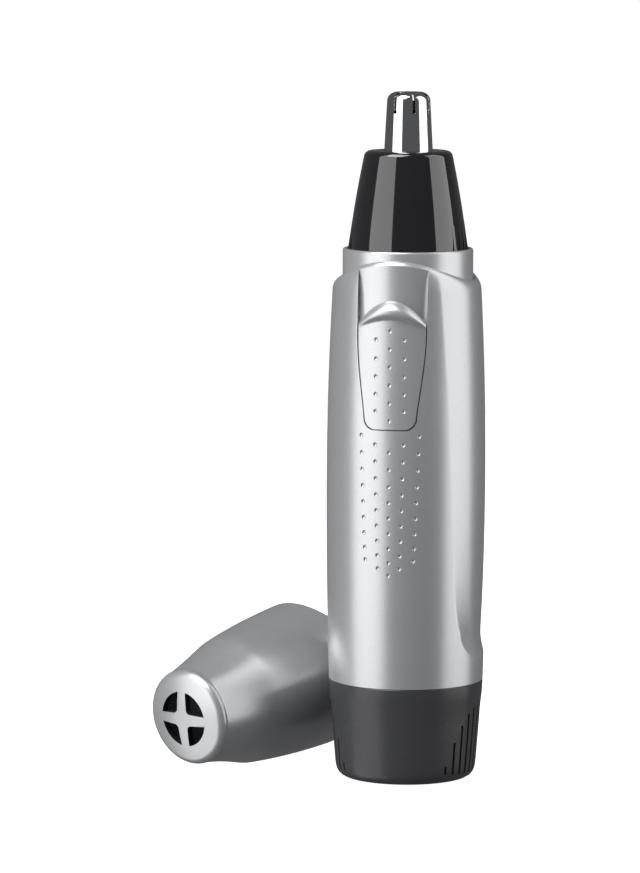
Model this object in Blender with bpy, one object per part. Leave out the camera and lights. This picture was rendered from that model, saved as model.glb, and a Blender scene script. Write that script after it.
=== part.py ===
"""Battery nose hair trimmer, standing on its base, with its protective cap lying beside it.

Metres, +Z up, front towards -Y. The origin is the centre of the flat underside of the base cover.
"""
import math

import bmesh
import bpy
from mathutils import Matrix, Vector

MM = 0.001
GAP = 0.3 * MM            # clearance between pieces that touch
CUT_TOP_Z = 132.4 * MM    # the long cutting tools end here, above every piece they cut

# ---- driving sizes -------------------------------------------------------------------------
BASE_TOP_Z = 19.0 * MM    # joint between the base cover and the housing
BASE_RADIUS = 14.93 * MM  # at that joint
BASE_FOOT_RADIUS = 13.6 * MM
BASE_FLAT_RADIUS = 11.6 * MM
BASE_FLOOR = 1.6 * MM
BASE_WALL = 1.6 * MM

BELLY_Z = 56.0 * MM       # widest level of the housing
BELLY_RADIUS = 15.5 * MM
SHOULDER_Z = 96.6 * MM    # lowest level of the shoulder edge, at the sides
SHOULDER_RISE = 4.3 * MM  # how much higher the edge is at front and back
SHOULDER_RADIUS = 14.35 * MM
SHOULDER_ROUND = 2.2 * MM
HOUSING_BORE = 12.85 * MM

SCOOP_END_Z = 24.0 * MM   # lower end of the hollow along each side
SCOOP_FULL_Z = 36.0 * MM  # level where the hollow reaches its full width
SCOOP_TOP_DEPTH = 0.27 * MM
SCOOP_LOW_DEPTH = 0.78 * MM
SCOOP_TOP_SPAN = 51.0     # half the angle it covers at the top, degrees
SCOOP_LOW_SPAN = 39.5

COLLAR_RADIUS = 12.55 * MM
COLLAR_TOP_Z = 102.5 * MM
COLLAR_FOOT_Z = COLLAR_TOP_Z - 13.2 * MM
SOCKET_RADIUS = 11.65 * MM
SOCKET_FLOOR_Z = COLLAR_TOP_Z - 5.6 * MM
DECK_THICKNESS = 4.2 * MM
BOSS_RADIUS = 8.3 * MM
BOSS_TOP_Z = COLLAR_TOP_Z - 1.6 * MM
BOSS_BORE = 2.8 * MM

CONE_TOP_Z = 121.2 * MM
CONE_TOP_RADIUS = 8.2 * MM
CONE_FOOT_RADIUS = 11.3 * MM
CONE_SKIRT_Z = SOCKET_FLOOR_Z + 1.6 * MM
CONE_BORE = 8.6 * MM

TIP_Z = 132.4 * MM
TIP_RADIUS = 4.15 * MM
TIP_FOOT_RADIUS = 4.65 * MM
TIP_WALL = 0.5 * MM
TIP_SLOTS = 7
TIP_SLOT_WIDTH = 0.6 * MM
TIP_SLOT_DEPTH = 4.1 * MM

CELL_RADIUS = 7.15 * MM   # size AA cell
CELL_LENGTH = 49.7 * MM
CELL_BUTTON = 1.2 * MM
CELL_FOOT_Z = 9.2 * MM

TUBE_BORE = 7.75 * MM     # chassis tube round the cell and the motor
TUBE_WALL = 1.2 * MM
TUBE_FOOT_Z = BASE_TOP_Z + 1.5 * MM

MOTOR_RADIUS = 7.4 * MM
MOTOR_FLAT = 5.9 * MM
MOTOR_WALL = 0.5 * MM
MOTOR_LENGTH = 20.0 * MM
SHAFT_RADIUS = 0.75 * MM

TRACK_RADIUS = 13.55 * MM # the switch track's round floor
TRACK_BACK_Y = 11.4 * MM  # flat inner face behind that floor, before the axis
TRACK_HALF_WIDTH = 6.8 * MM
TRACK_FOOT_HALF_WIDTH = 5.2 * MM
TRACK_FOOT_Z = 68.8 * MM
TRACK_TAPER_Z = 87.5 * MM
SLIDER_TOP_Z = 93.4 * MM
SLIDER_TRAVEL = 5.5 * MM
RIDGE_HEIGHT = 1.1 * MM

TWIST = 45.0              # bayonet turn of the head and of the base cover, degrees
LUG_HALF_ANGLE = 8.0
LUG_CLEARANCE = 1.5       # degrees of play at each end of a bayonet slot

CAP_MOUTH_RADIUS = 14.7 * MM
CAP_KINK_Z = 24.8 * MM    # these two levels are measured from the mouth
CAP_KINK_RADIUS = 12.75 * MM
CAP_EDGE_Z = 38.4 * MM
CAP_EDGE_RADIUS = 9.45 * MM
CAP_DOME = 1.4 * MM
CAP_HOLLOW = 0.45 * MM    # how far the nose of the cap curves in behind its kink
CAP_WALL = 1.3 * MM
CAP_MOUTH = Vector((-23.9 * MM, 22.3 * MM))
CAP_HEADING = 206.5       # direction from mouth to tip, degrees clockwise from +Y seen from above
CAP_LEAN = 7.0            # tip end lower than the mouth end, degrees
CAP_VENT_RADIUS = 5.45 * MM
CAP_VENT_BAR = 1.55 * MM

SEGMENTS = 48


# ---- scene, materials and mesh helpers ------------------------------------------------------
def clear_scene():
    for thing in list(bpy.data.objects):
        bpy.data.objects.remove(thing)


def material(name, colour, roughness, metallic=0.0):
    found = bpy.data.materials.get(name)
    if found:
        return found
    made = bpy.data.materials.new(name)
    made.use_nodes = True
    shader = made.node_tree.nodes["Principled BSDF"]
    shader.inputs["Base Color"].default_value = (*colour, 1.0)
    shader.inputs["Roughness"].default_value = roughness
    shader.inputs["Metallic"].default_value = metallic
    return made


def silver_paint():
    return material("silver_paint", (0.50, 0.51, 0.52), 0.34, 0.85)


def dark_plastic():
    return material("dark_plastic", (0.035, 0.036, 0.040), 0.32)


def gloss_black():
    return material("gloss_black", (0.018, 0.018, 0.020), 0.12)


def chrome():
    return material("chrome", (0.86, 0.87, 0.88), 0.06, 1.0)


def steel():
    return material("steel", (0.60, 0.60, 0.61), 0.28, 1.0)


def brass():
    return material("brass", (0.72, 0.52, 0.22), 0.30, 1.0)


def copper():
    return material("copper", (0.70, 0.33, 0.16), 0.35, 1.0)


def black_plastic():
    return material("black_plastic", (0.02, 0.02, 0.02), 0.5)


def white_plastic():
    return material("white_plastic", (0.75, 0.74, 0.70), 0.45)


def ferrite():
    return material("ferrite", (0.05, 0.05, 0.055), 0.6)


def rubber():
    return material("rubber", (0.015, 0.015, 0.015), 0.8)


def cell_sleeve():
    return material("cell_sleeve", (0.10, 0.12, 0.15), 0.3)


def finish_mesh(name, mesh_data, look):
    """Turn a bmesh into a named object with one material and smooth round faces."""
    bmesh.ops.remove_doubles(mesh_data, verts=mesh_data.verts, dist=1e-7)
    bmesh.ops.recalc_face_normals(mesh_data, faces=mesh_data.faces)
    mesh = bpy.data.meshes.new(name)
    mesh_data.to_mesh(mesh)
    mesh_data.free()
    mesh.shade_smooth()
    mesh.set_sharp_from_angle(angle=math.radians(35.0))
    thing = bpy.data.objects.new(name, mesh)
    bpy.context.scene.collection.objects.link(thing)
    if look:
        mesh.materials.append(look)
    return thing


def rings(name, rows, look=None, closed=False):
    """Skin over rows of points; a closed skin joins the last row to the first, else ends are capped."""
    made = bmesh.new()
    grid = [[made.verts.new(point) for point in row] for row in rows]
    count = len(rows)
    for k in range(count if closed else count - 1):
        low, high = grid[k], grid[(k + 1) % count]
        for i in range(len(low)):
            j = (i + 1) % len(low)
            made.faces.new((low[i], low[j], high[j], high[i]))
    if not closed:
        made.faces.new(grid[0])
        made.faces.new(grid[-1])
    return finish_mesh(name, made, look)


def circle(radius, height, segments=SEGMENTS):
    turns = [2.0 * math.pi * (i + 0.4) / segments for i in range(segments)]
    return [(radius * math.cos(a), radius * math.sin(a), height) for a in turns]


def turned(name, profile, look=None, segments=SEGMENTS):
    """A ring or tube: the closed (radius, height) profile is turned about Z."""
    return rings(name, [circle(r, z, segments) for r, z in profile], look, closed=True)


def turned_solid(name, profile, look=None, segments=SEGMENTS):
    """A solid without a bore: the profile runs from its bottom face to its top face."""
    return rings(name, [circle(r, z, segments) for r, z in profile], look)


def tube(name, outer, inner, low, high, look=None, segments=SEGMENTS):
    profile = [(outer, low), (outer, high), (inner, high), (inner, low)]
    return turned(name, profile, look, segments)


def rod(name, radius, low, high, look=None, segments=24):
    return turned_solid(name, [(radius, low), (radius, high)], look, segments)


def upright(name, outline, low, high, look=None):
    """A prism that stands on the (x, y) outline."""
    return rings(name, [[(x, y, z) for x, y in outline] for z in (low, high)], look)


def facing(name, outline, back, front, look=None):
    """A prism whose (x, z) outline faces the front; back and front are distances before the axis."""
    return rings(name, [[(x, -y, z) for x, z in outline] for y in (back, front)], look)


def block(name, low, high, look=None):
    corners = [(low[0], low[1]), (high[0], low[1]), (high[0], high[1]), (low[0], high[1])]
    return upright(name, corners, low[2], high[2], look)


def sector(name, inner, outer, low, high, start, end, look=None):
    """Part of a ring between two angles in degrees, counted from +X."""
    steps = max(2, math.ceil((end - start) / 7.5))
    turns = [math.radians(start + (end - start) * i / steps) for i in range(steps + 1)]
    outline = [(outer * math.cos(a), outer * math.sin(a)) for a in turns]
    outline += [(inner * math.cos(a), inner * math.sin(a)) for a in reversed(turns)]
    return upright(name, outline, low, high, look)


def flatted(name, radius, flat, low, high, look=None):
    """A round prism with flats at front and back, as on a small motor."""
    edge = math.asin(flat / radius)
    steps = 10
    side = [-edge + 2.0 * edge * i / steps for i in range(steps + 1)]
    outline = [(radius * math.cos(a), radius * math.sin(a)) for a in side]
    outline += [(-x, -y) for x, y in outline]
    return upright(name, outline, low, high, look)


def combine(thing, tool, operation):
    """Apply one solid to another; the tool stays as a hidden wire guide."""
    modifier = thing.modifiers.new(tool.name, "BOOLEAN")
    modifier.object = tool
    modifier.operation = operation
    modifier.solver = "EXACT"
    tool.hide_render = True
    tool.display_type = "WIRE"
    return thing


def cut(thing, tool):
    return combine(thing, tool, "DIFFERENCE")


def fuse(thing, tool):
    return combine(thing, tool, "UNION")


def coil(name, radii, low, high, turns, wire, look):
    """A closed-ended helical spring of round wire."""
    per_turn = 12
    count = turns * per_turn
    data = bpy.data.curves.new(name, "CURVE")
    data.dimensions = "3D"
    data.bevel_depth = wire
    data.bevel_resolution = 1
    data.use_fill_caps = True
    data.materials.append(look)
    spline = data.splines.new("POLY")
    spline.points.add(count)
    for i, point in enumerate(spline.points):
        share = i / count
        radius = radii[0] + (radii[1] - radii[0]) * share
        turn = 2.0 * math.pi * turns * share
        height = low + (high - low) * share
        point.co = (radius * math.cos(turn), radius * math.sin(turn), height, 1.0)
    thing = bpy.data.objects.new(name, data)
    bpy.context.scene.collection.objects.link(thing)
    return thing


def body_axis(name, things, location=(0.0, 0.0, 0.0)):
    """Hold the pieces of one moving body on an empty that stands on its joint axis."""
    axis = bpy.data.objects.new(name, None)
    axis.location = location
    bpy.context.scene.collection.objects.link(axis)
    for thing in things:
        thing.parent = axis
        thing.matrix_parent_inverse = Matrix.Translation(location).inverted()
    return axis


# ---- outer form of the housing --------------------------------------------------------------
def smooth(value):
    value = min(1.0, max(0.0, value))
    return value * value * (3.0 - 2.0 * value)


def shoulder_wave(turn):
    """Height of the shoulder edge above its lowest level; turn is measured from the front."""
    return SHOULDER_RISE * math.cos(turn) ** 2


def round_radius(z):
    """Radius of the housing before its sides are hollowed."""
    if z < BELLY_Z:
        share = (BELLY_Z - z) / (BELLY_Z - BASE_TOP_Z)
        return BELLY_RADIUS - (BELLY_RADIUS - BASE_RADIUS) * share ** 2
    share = (z - BELLY_Z) / (SHOULDER_Z - BELLY_Z)
    return BELLY_RADIUS - (BELLY_RADIUS - SHOULDER_RADIUS) * share ** 2


def scoop(turn, z):
    """Depth of the hollow along each side at an angle from the front."""
    if z <= SCOOP_END_Z:
        return 0.0
    rise = min(1.0, (z - SCOOP_FULL_Z) / (SHOULDER_Z - SCOOP_FULL_Z))
    span = SCOOP_LOW_SPAN + (SCOOP_TOP_SPAN - SCOOP_LOW_SPAN) * max(0.0, rise)
    if z < SCOOP_FULL_Z:
        drop = (SCOOP_FULL_Z - z) / (SCOOP_FULL_Z - SCOOP_END_Z)
        span *= math.sqrt(1.0 - drop * drop)
    away = abs(abs(math.degrees(turn)) - 90.0)
    lift = min(1.0, (SHOULDER_Z - z) / (SHOULDER_Z - SCOOP_END_Z))
    depth = SCOOP_TOP_DEPTH + (SCOOP_LOW_DEPTH - SCOOP_TOP_DEPTH) * max(0.0, lift) ** 3
    return depth * smooth((span - away) / 12.0)


def housing_row(height, inward=0.0, wave=0.0):
    """One ring of the housing; wave lets it follow the shoulder edge."""
    row = []
    for i in range(SEGMENTS):
        turn = 2.0 * math.pi * i / SEGMENTS - math.pi
        z = height + wave * shoulder_wave(turn)
        radius = round_radius(min(z, SHOULDER_Z)) - scoop(turn, z) - inward
        row.append((radius * math.sin(turn), -radius * math.cos(turn), z))
    return row


def housing_form(name, look=None):
    """The closed outer form of the housing."""
    foot = BASE_TOP_Z + 0.5 * GAP
    straight = SHOULDER_Z - 3.0 * SHOULDER_ROUND
    inner_reach = SHOULDER_RADIUS - HOUSING_BORE - GAP
    levels = [0.0, 0.05, 0.09, 0.13, 0.18, 0.25, 0.35, 0.5, 0.65, 0.8, 0.9, 1.0]
    rows = [housing_row(foot + (straight - foot) * share) for share in levels]
    rounding = [(1.0, 0.0), (0.5, 0.12), (0.2, 0.4), (0.0, 1.0)]
    for drop, inward in rounding:
        rows.append(housing_row(SHOULDER_Z - drop * SHOULDER_ROUND, inward * inner_reach, 1.0))
    return rings(name, rows, look)


# ---- switch track, shared by the housing and the slider -----------------------------------------
def track_outline(top, inset, arch=0.0):
    """Half-round-footed (x, z) outline of the switch track; arch drops the top corners."""
    foot = TRACK_FOOT_Z + inset
    wide = TRACK_HALF_WIDTH - inset
    narrow = TRACK_FOOT_HALF_WIDTH - inset
    corner = 2.2 * MM
    right = []
    for i in range(5):
        turn = math.radians(90.0 * i / 4)
        x = narrow - corner + corner * math.sin(turn)
        right.append((x, foot + corner - corner * math.cos(turn)))
    right.append((wide, TRACK_TAPER_Z))
    if arch:
        steps = 6
        for i in range(steps):
            x = wide * (1.0 - i / steps)
            right.append((x, top - arch * (x / wide) ** 2))
        right.append((0.0, top))
        left = [(-x, z) for x, z in reversed(right[:-1])]
    else:
        right.append((wide, top))
        left = [(-x, z) for x, z in reversed(right)]
    return right + left


def bayonet_slot(name, inner, outer, low, high, entry, lug, unlock):
    """Cutting tools of one L slot: an arc for the twist and an entry at its unlocked end."""
    reach = LUG_HALF_ANGLE + LUG_CLEARANCE
    start = min(lug, lug + unlock) - reach
    end = max(lug, lug + unlock) + reach
    arc = sector(name + "_arc", inner, outer, low, high, start, end)
    middle = lug + unlock
    mouth_low, mouth_high = min(low, entry), max(high, entry)
    mouth = sector(name + "_entry", inner, outer, mouth_low, mouth_high, middle - reach, middle + reach)
    return arc, mouth


# ---- fixed pieces ---------------------------------------------------------------------------
STEM_FOOT_Z = TRACK_FOOT_Z + 8.5 * MM
STEM_HEIGHT = 4.0 * MM
STEM_HALF_WIDTH = 1.4 * MM
BASE_LUG_Z = BASE_TOP_Z + 3.0 * MM
BASE_LUG_HEIGHT = 1.5 * MM
BASE_LUG_REACH = 0.85 * MM
SPIGOT_RADIUS = HOUSING_BORE - 0.35 * MM
SPIGOT_TOP_Z = BASE_TOP_Z + 6.0 * MM
SPIGOT_WALL = 1.3 * MM
HEAD_LUG_Z = SOCKET_FLOOR_Z + 2.6 * MM
HEAD_LUG_HEIGHT = 1.0 * MM
HEAD_LUG_REACH = 1.0 * MM


def make_housing():
    housing = housing_form("housing", silver_paint())
    cut(housing, rod("housing_bore", HOUSING_BORE, 0.0, CUT_TOP_Z, segments=SEGMENTS))
    backing = HOUSING_BORE + 0.4 * MM
    reach = math.acos(TRACK_BACK_Y / backing)
    arc = [-reach + 2.0 * reach * i / 8 for i in range(9)]
    segment = [(backing * math.sin(a), -backing * math.cos(a)) for a in arc]
    floor_foot = TRACK_FOOT_Z - 3.0 * MM
    floor_top = SHOULDER_Z + SHOULDER_RISE - GAP
    fuse(housing, upright("track_backing", segment, floor_foot, floor_top))
    track = facing("track_cut", track_outline(COLLAR_TOP_Z, 0.0), 0.5 * BELLY_RADIUS, BELLY_RADIUS + 3.0 * MM)
    cut(track, rod("track_floor", TRACK_RADIUS, TRACK_FOOT_Z - MM, CUT_TOP_Z, segments=SEGMENTS))
    cut(housing, track)
    slot_low = STEM_FOOT_Z - GAP
    slot_high = STEM_FOOT_Z + STEM_HEIGHT + SLIDER_TRAVEL + GAP
    slot_half = STEM_HALF_WIDTH + GAP
    near, far = -TRACK_RADIUS - 0.2 * MM, -TRACK_BACK_Y + MM
    cut(housing, block("stem_slot", (-slot_half, near, slot_low), (slot_half, far, slot_high)))
    for side, angle in (("right", 0.0), ("left", 180.0)):
        inner = HOUSING_BORE - BASE_LUG_REACH
        outer = HOUSING_BORE + 0.4 * MM
        top = BASE_LUG_Z + BASE_LUG_HEIGHT
        start, end = angle - LUG_HALF_ANGLE, angle + LUG_HALF_ANGLE
        fuse(housing, sector("base_lug_" + side, inner, outer, BASE_LUG_Z, top, start, end))
    return housing


SCREW_OFFSET = 9.9 * MM
SCREW_RADIUS = 0.7 * MM
SCREW_HEAD_RADIUS = 1.1 * MM
POST_RADIUS = 1.5 * MM
SCREW_LENGTH = 9.0 * MM
DECK_FOOT_Z = SOCKET_FLOOR_Z - DECK_THICKNESS
CHASSIS_TOP_Z = DECK_FOOT_Z - GAP


def make_collar():
    skirt_bore = COLLAR_RADIUS - 0.8 * MM
    profile = [
        (COLLAR_RADIUS, COLLAR_FOOT_Z), (COLLAR_RADIUS, COLLAR_TOP_Z),
        (SOCKET_RADIUS, COLLAR_TOP_Z), (SOCKET_RADIUS, SOCKET_FLOOR_Z),
        (BOSS_RADIUS, SOCKET_FLOOR_Z), (BOSS_RADIUS, BOSS_TOP_Z),
        (BOSS_BORE, BOSS_TOP_Z), (BOSS_BORE, DECK_FOOT_Z),
        (skirt_bore, DECK_FOOT_Z), (skirt_bore, COLLAR_FOOT_Z),
    ]
    collar = turned("neck_collar", profile, silver_paint())
    notch_back = -(TRACK_BACK_Y - 0.6 * MM)
    notch_top = SHOULDER_Z + SHOULDER_RISE + GAP
    half = TRACK_HALF_WIDTH + 0.8 * MM
    notch = block("collar_notch", (-half, -20.0 * MM, COLLAR_FOOT_Z - MM), (half, notch_back, notch_top))
    cut(collar, notch)
    for side, x in (("left", -SCREW_OFFSET), ("right", SCREW_OFFSET)):
        hole = rod("screw_hole_" + side, SCREW_RADIUS + GAP, COLLAR_FOOT_Z, SOCKET_FLOOR_Z + MM, segments=16)
        hole.location.x = x
        cut(collar, hole)
    for side, angle in (("front", -90.0), ("back", 90.0)):
        inner, outer = BOSS_RADIUS - 0.5 * MM, BOSS_RADIUS + HEAD_LUG_REACH
        top = HEAD_LUG_Z + HEAD_LUG_HEIGHT
        start, end = angle - LUG_HALF_ANGLE, angle + LUG_HALF_ANGLE
        fuse(collar, sector("head_lug_" + side, inner, outer, HEAD_LUG_Z, top, start, end))
    return collar


STRIP_INNER = 9.3 * MM
STRIP_THICKNESS = 0.4 * MM
STRIP_HALF_WIDTH = 1.5 * MM
CONTACT_THICKNESS = 0.4 * MM
CELL_CONTACT_Z = CELL_FOOT_Z + CELL_LENGTH + CELL_BUTTON + GAP
BULKHEAD_Z = CELL_CONTACT_Z + CONTACT_THICKNESS + GAP
BULKHEAD = 1.2 * MM
MOTOR_FOOT_Z = BULKHEAD_Z + BULKHEAD + 4.6 * MM
MOTOR_TOP_Z = MOTOR_FOOT_Z + MOTOR_LENGTH
STRIP_TAG_Z = MOTOR_FOOT_Z - 1.4 * MM
RIB_LEVELS = (TUBE_FOOT_Z + 10.0 * MM, TUBE_FOOT_Z + 36.0 * MM)
RIB = 1.2 * MM


def make_chassis():
    outer = TUBE_BORE + TUBE_WALL
    rib_outer = HOUSING_BORE - 0.35 * MM
    profile = [(TUBE_BORE, TUBE_FOOT_Z), (outer, TUBE_FOOT_Z)]
    for z in RIB_LEVELS:
        profile += [(outer, z), (rib_outer, z), (rib_outer, z + RIB), (outer, z + RIB)]
    profile += [(outer, CHASSIS_TOP_Z), (TUBE_BORE, CHASSIS_TOP_Z)]
    chassis = turned("chassis", profile, white_plastic())
    lap = TUBE_BORE + 0.5 * TUBE_WALL
    fuse(chassis, rod("bulkhead", lap, BULKHEAD_Z, BULKHEAD_Z + BULKHEAD, segments=40))
    for side, sign in (("left", -1.0), ("right", 1.0)):
        post = rod("post_" + side, POST_RADIUS, CHASSIS_TOP_Z - 14.0 * MM, CHASSIS_TOP_Z, segments=16)
        post.location.x = sign * SCREW_OFFSET
        fuse(chassis, post)
        hole = rod("post_hole_" + side, SCREW_RADIUS + GAP, CHASSIS_TOP_Z - 11.0 * MM, CUT_TOP_Z, segments=16)
        hole.location.x = sign * SCREW_OFFSET
        cut(chassis, hole)
    window_foot = CELL_CONTACT_Z - GAP
    window = block("front_window", (-5.2 * MM, -20.0 * MM, window_foot), (5.2 * MM, -6.4 * MM, CUT_TOP_Z))
    cut(chassis, window)
    half = STRIP_HALF_WIDTH + GAP
    groove_back = STRIP_INNER - GAP
    cut(chassis, block("strip_groove", (-half, groove_back, 0.0), (half, 20.0 * MM, CUT_TOP_Z)))
    tag_low, tag_high = STRIP_TAG_Z - GAP, STRIP_TAG_Z + STRIP_THICKNESS + GAP
    cut(chassis, block("strip_window", (-half, 6.0 * MM, tag_low), (half, 10.0 * MM, tag_high)))
    return chassis


def make_chassis_screws():
    screws = []
    for side, x in (("left", -SCREW_OFFSET), ("right", SCREW_OFFSET)):
        head_foot = SOCKET_FLOOR_Z + GAP
        profile = [
            (SCREW_RADIUS, head_foot - SCREW_LENGTH), (SCREW_RADIUS, head_foot),
            (SCREW_HEAD_RADIUS, head_foot), (SCREW_HEAD_RADIUS, head_foot + 0.9 * MM),
        ]
        screw = turned_solid("chassis_screw_" + side, profile, steel(), 16)
        screw.location.x = x
        drive = block("drive_" + side, (-0.2 * MM, -MM, head_foot + 0.5 * MM), (0.2 * MM, MM, CUT_TOP_Z))
        drive.location.x = x
        screws.append(cut(screw, drive))
    return screws


def make_battery():
    top = CELL_FOOT_Z + CELL_LENGTH
    button = 2.7 * MM
    profile = [
        (CELL_RADIUS - 0.5 * MM, CELL_FOOT_Z), (CELL_RADIUS, CELL_FOOT_Z + 0.5 * MM),
        (CELL_RADIUS, top - 0.5 * MM), (CELL_RADIUS - 0.5 * MM, top),
        (button, top), (button, top + CELL_BUTTON),
    ]
    return turned_solid("battery_cell", profile, cell_sleeve())


CONTACT_Y = 9.2 * MM      # front face of the fixed switch contacts, before the axis
CONTACT_HALF_WIDTH = 2.5 * MM
LOWER_CONTACT_TOP_Z = TRACK_FOOT_Z + 8.5 * MM
UPPER_CONTACT_FOOT_Z = LOWER_CONTACT_TOP_Z + 3.0 * MM
UPPER_CONTACT_TOP_Z = MOTOR_TOP_Z + 2.0 * MM


def side_strip(name, outline, half_width, look):
    """A bent metal strip: its (y, z) side outline is given a width across X."""
    rows = [[(x, y, z) for y, z in outline] for x in (-half_width, half_width)]
    return rings(name, rows, look)


def make_contacts():
    thick = CONTACT_THICKNESS
    low = CELL_CONTACT_Z
    high = low + thick
    front, back = -CONTACT_Y, -CONTACT_Y + thick
    outline = [
        (front, low), (4.0 * MM, low), (4.0 * MM, high), (back, high),
        (back, LOWER_CONTACT_TOP_Z), (front, LOWER_CONTACT_TOP_Z),
    ]
    positive = side_strip("positive_contact", outline, CONTACT_HALF_WIDTH, brass())
    leg_front, leg_back = -7.6 * MM, -7.2 * MM
    top = UPPER_CONTACT_TOP_Z
    tag = MOTOR_FOOT_Z - 2.2 * MM
    outline = [
        (front, UPPER_CONTACT_FOOT_Z), (back, UPPER_CONTACT_FOOT_Z), (back, top - thick),
        (leg_front, top - thick), (leg_front, tag), (-6.2 * MM, tag), (-6.2 * MM, tag + thick),
        (leg_back, tag + thick), (leg_back, top), (front, top),
    ]
    motor = side_strip("motor_contact", outline, CONTACT_HALF_WIDTH, brass())
    inner, outer = STRIP_INNER, STRIP_INNER + STRIP_THICKNESS
    tag_top = STRIP_TAG_Z + STRIP_THICKNESS
    foot = BASE_TOP_Z - 1.5 * MM
    outline = [
        (inner, foot), (outer, foot), (outer, tag_top), (6.3 * MM, tag_top),
        (6.3 * MM, STRIP_TAG_Z), (inner, STRIP_TAG_Z),
    ]
    negative = side_strip("negative_strip", outline, STRIP_HALF_WIDTH, steel())
    return positive, motor, negative


BUSH_RADIUS = 1.7 * MM
BRUSH_Z = MOTOR_FOOT_Z + 0.6 * MM
COMMUTATOR_RADIUS = 1.5 * MM
ARMATURE_FOOT_Z = MOTOR_FOOT_Z + 5.5 * MM
ARMATURE_TOP_Z = MOTOR_TOP_Z - 3.0 * MM
ARMATURE_RADIUS = 4.5 * MM
SHOE_RADIUS = 3.7 * MM
HUB_RADIUS = 1.9 * MM
ARM_HALF_WIDTH = 0.8 * MM


def make_motor():
    can = flatted("motor_can", MOTOR_RADIUS, MOTOR_FLAT, MOTOR_FOOT_Z, MOTOR_TOP_Z, steel())
    inside_radius, inside_flat = MOTOR_RADIUS - MOTOR_WALL, MOTOR_FLAT - MOTOR_WALL
    inside_top = MOTOR_TOP_Z - MOTOR_WALL
    cut(can, flatted("can_inside", inside_radius, inside_flat, MOTOR_FOOT_Z - MM, inside_top))
    cut(can, rod("can_hole", BUSH_RADIUS + GAP, MOTOR_TOP_Z - MM, MOTOR_TOP_Z + MM))
    bush_top = MOTOR_TOP_Z + 0.7 * MM
    bush = tube("motor_bush", BUSH_RADIUS, SHAFT_RADIUS + GAP, bush_top - 2.2 * MM, bush_top, brass(), 24)
    bell_top = MOTOR_FOOT_Z - GAP
    bell = flatted("motor_end_bell", MOTOR_RADIUS, MOTOR_FLAT, bell_top - 1.9 * MM, bell_top, white_plastic())
    cut(bell, rod("bell_hole", SHAFT_RADIUS + GAP, bell_top - 3.0 * MM, bell_top + MM))
    pieces = [can, bush, bell]
    for side, angle in (("right", 0.0), ("left", 180.0)):
        outer = inside_radius - GAP
        magnet = sector("magnet_" + side, ARMATURE_RADIUS + 0.4 * MM, outer, ARMATURE_FOOT_Z,
                        ARMATURE_TOP_Z, angle - 45.0, angle + 45.0, ferrite())
        sign = math.cos(math.radians(angle))
        near, far = sign * (COMMUTATOR_RADIUS + GAP), sign * 5.6 * MM
        x_low, x_high = min(near, far), max(near, far)
        brush_low, brush_high = (x_low, -0.6 * MM, BRUSH_Z), (x_high, 0.6 * MM, BRUSH_Z + 2.0 * MM)
        brush = block("brush_" + side, brush_low, brush_high, copper())
        pieces += [magnet, brush]
    return pieces


# ---- moving pieces --------------------------------------------------------------------------
COUPLING_TOP_Z = BOSS_TOP_Z - 1.0 * MM
COUPLING_RADIUS = 2.3 * MM
TONGUE_FOOT_Z = COUPLING_TOP_Z - 3.0 * MM
TONGUE_HALF_WIDTH = 1.5 * MM
TONGUE_HALF_THICKNESS = 0.4 * MM


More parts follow.
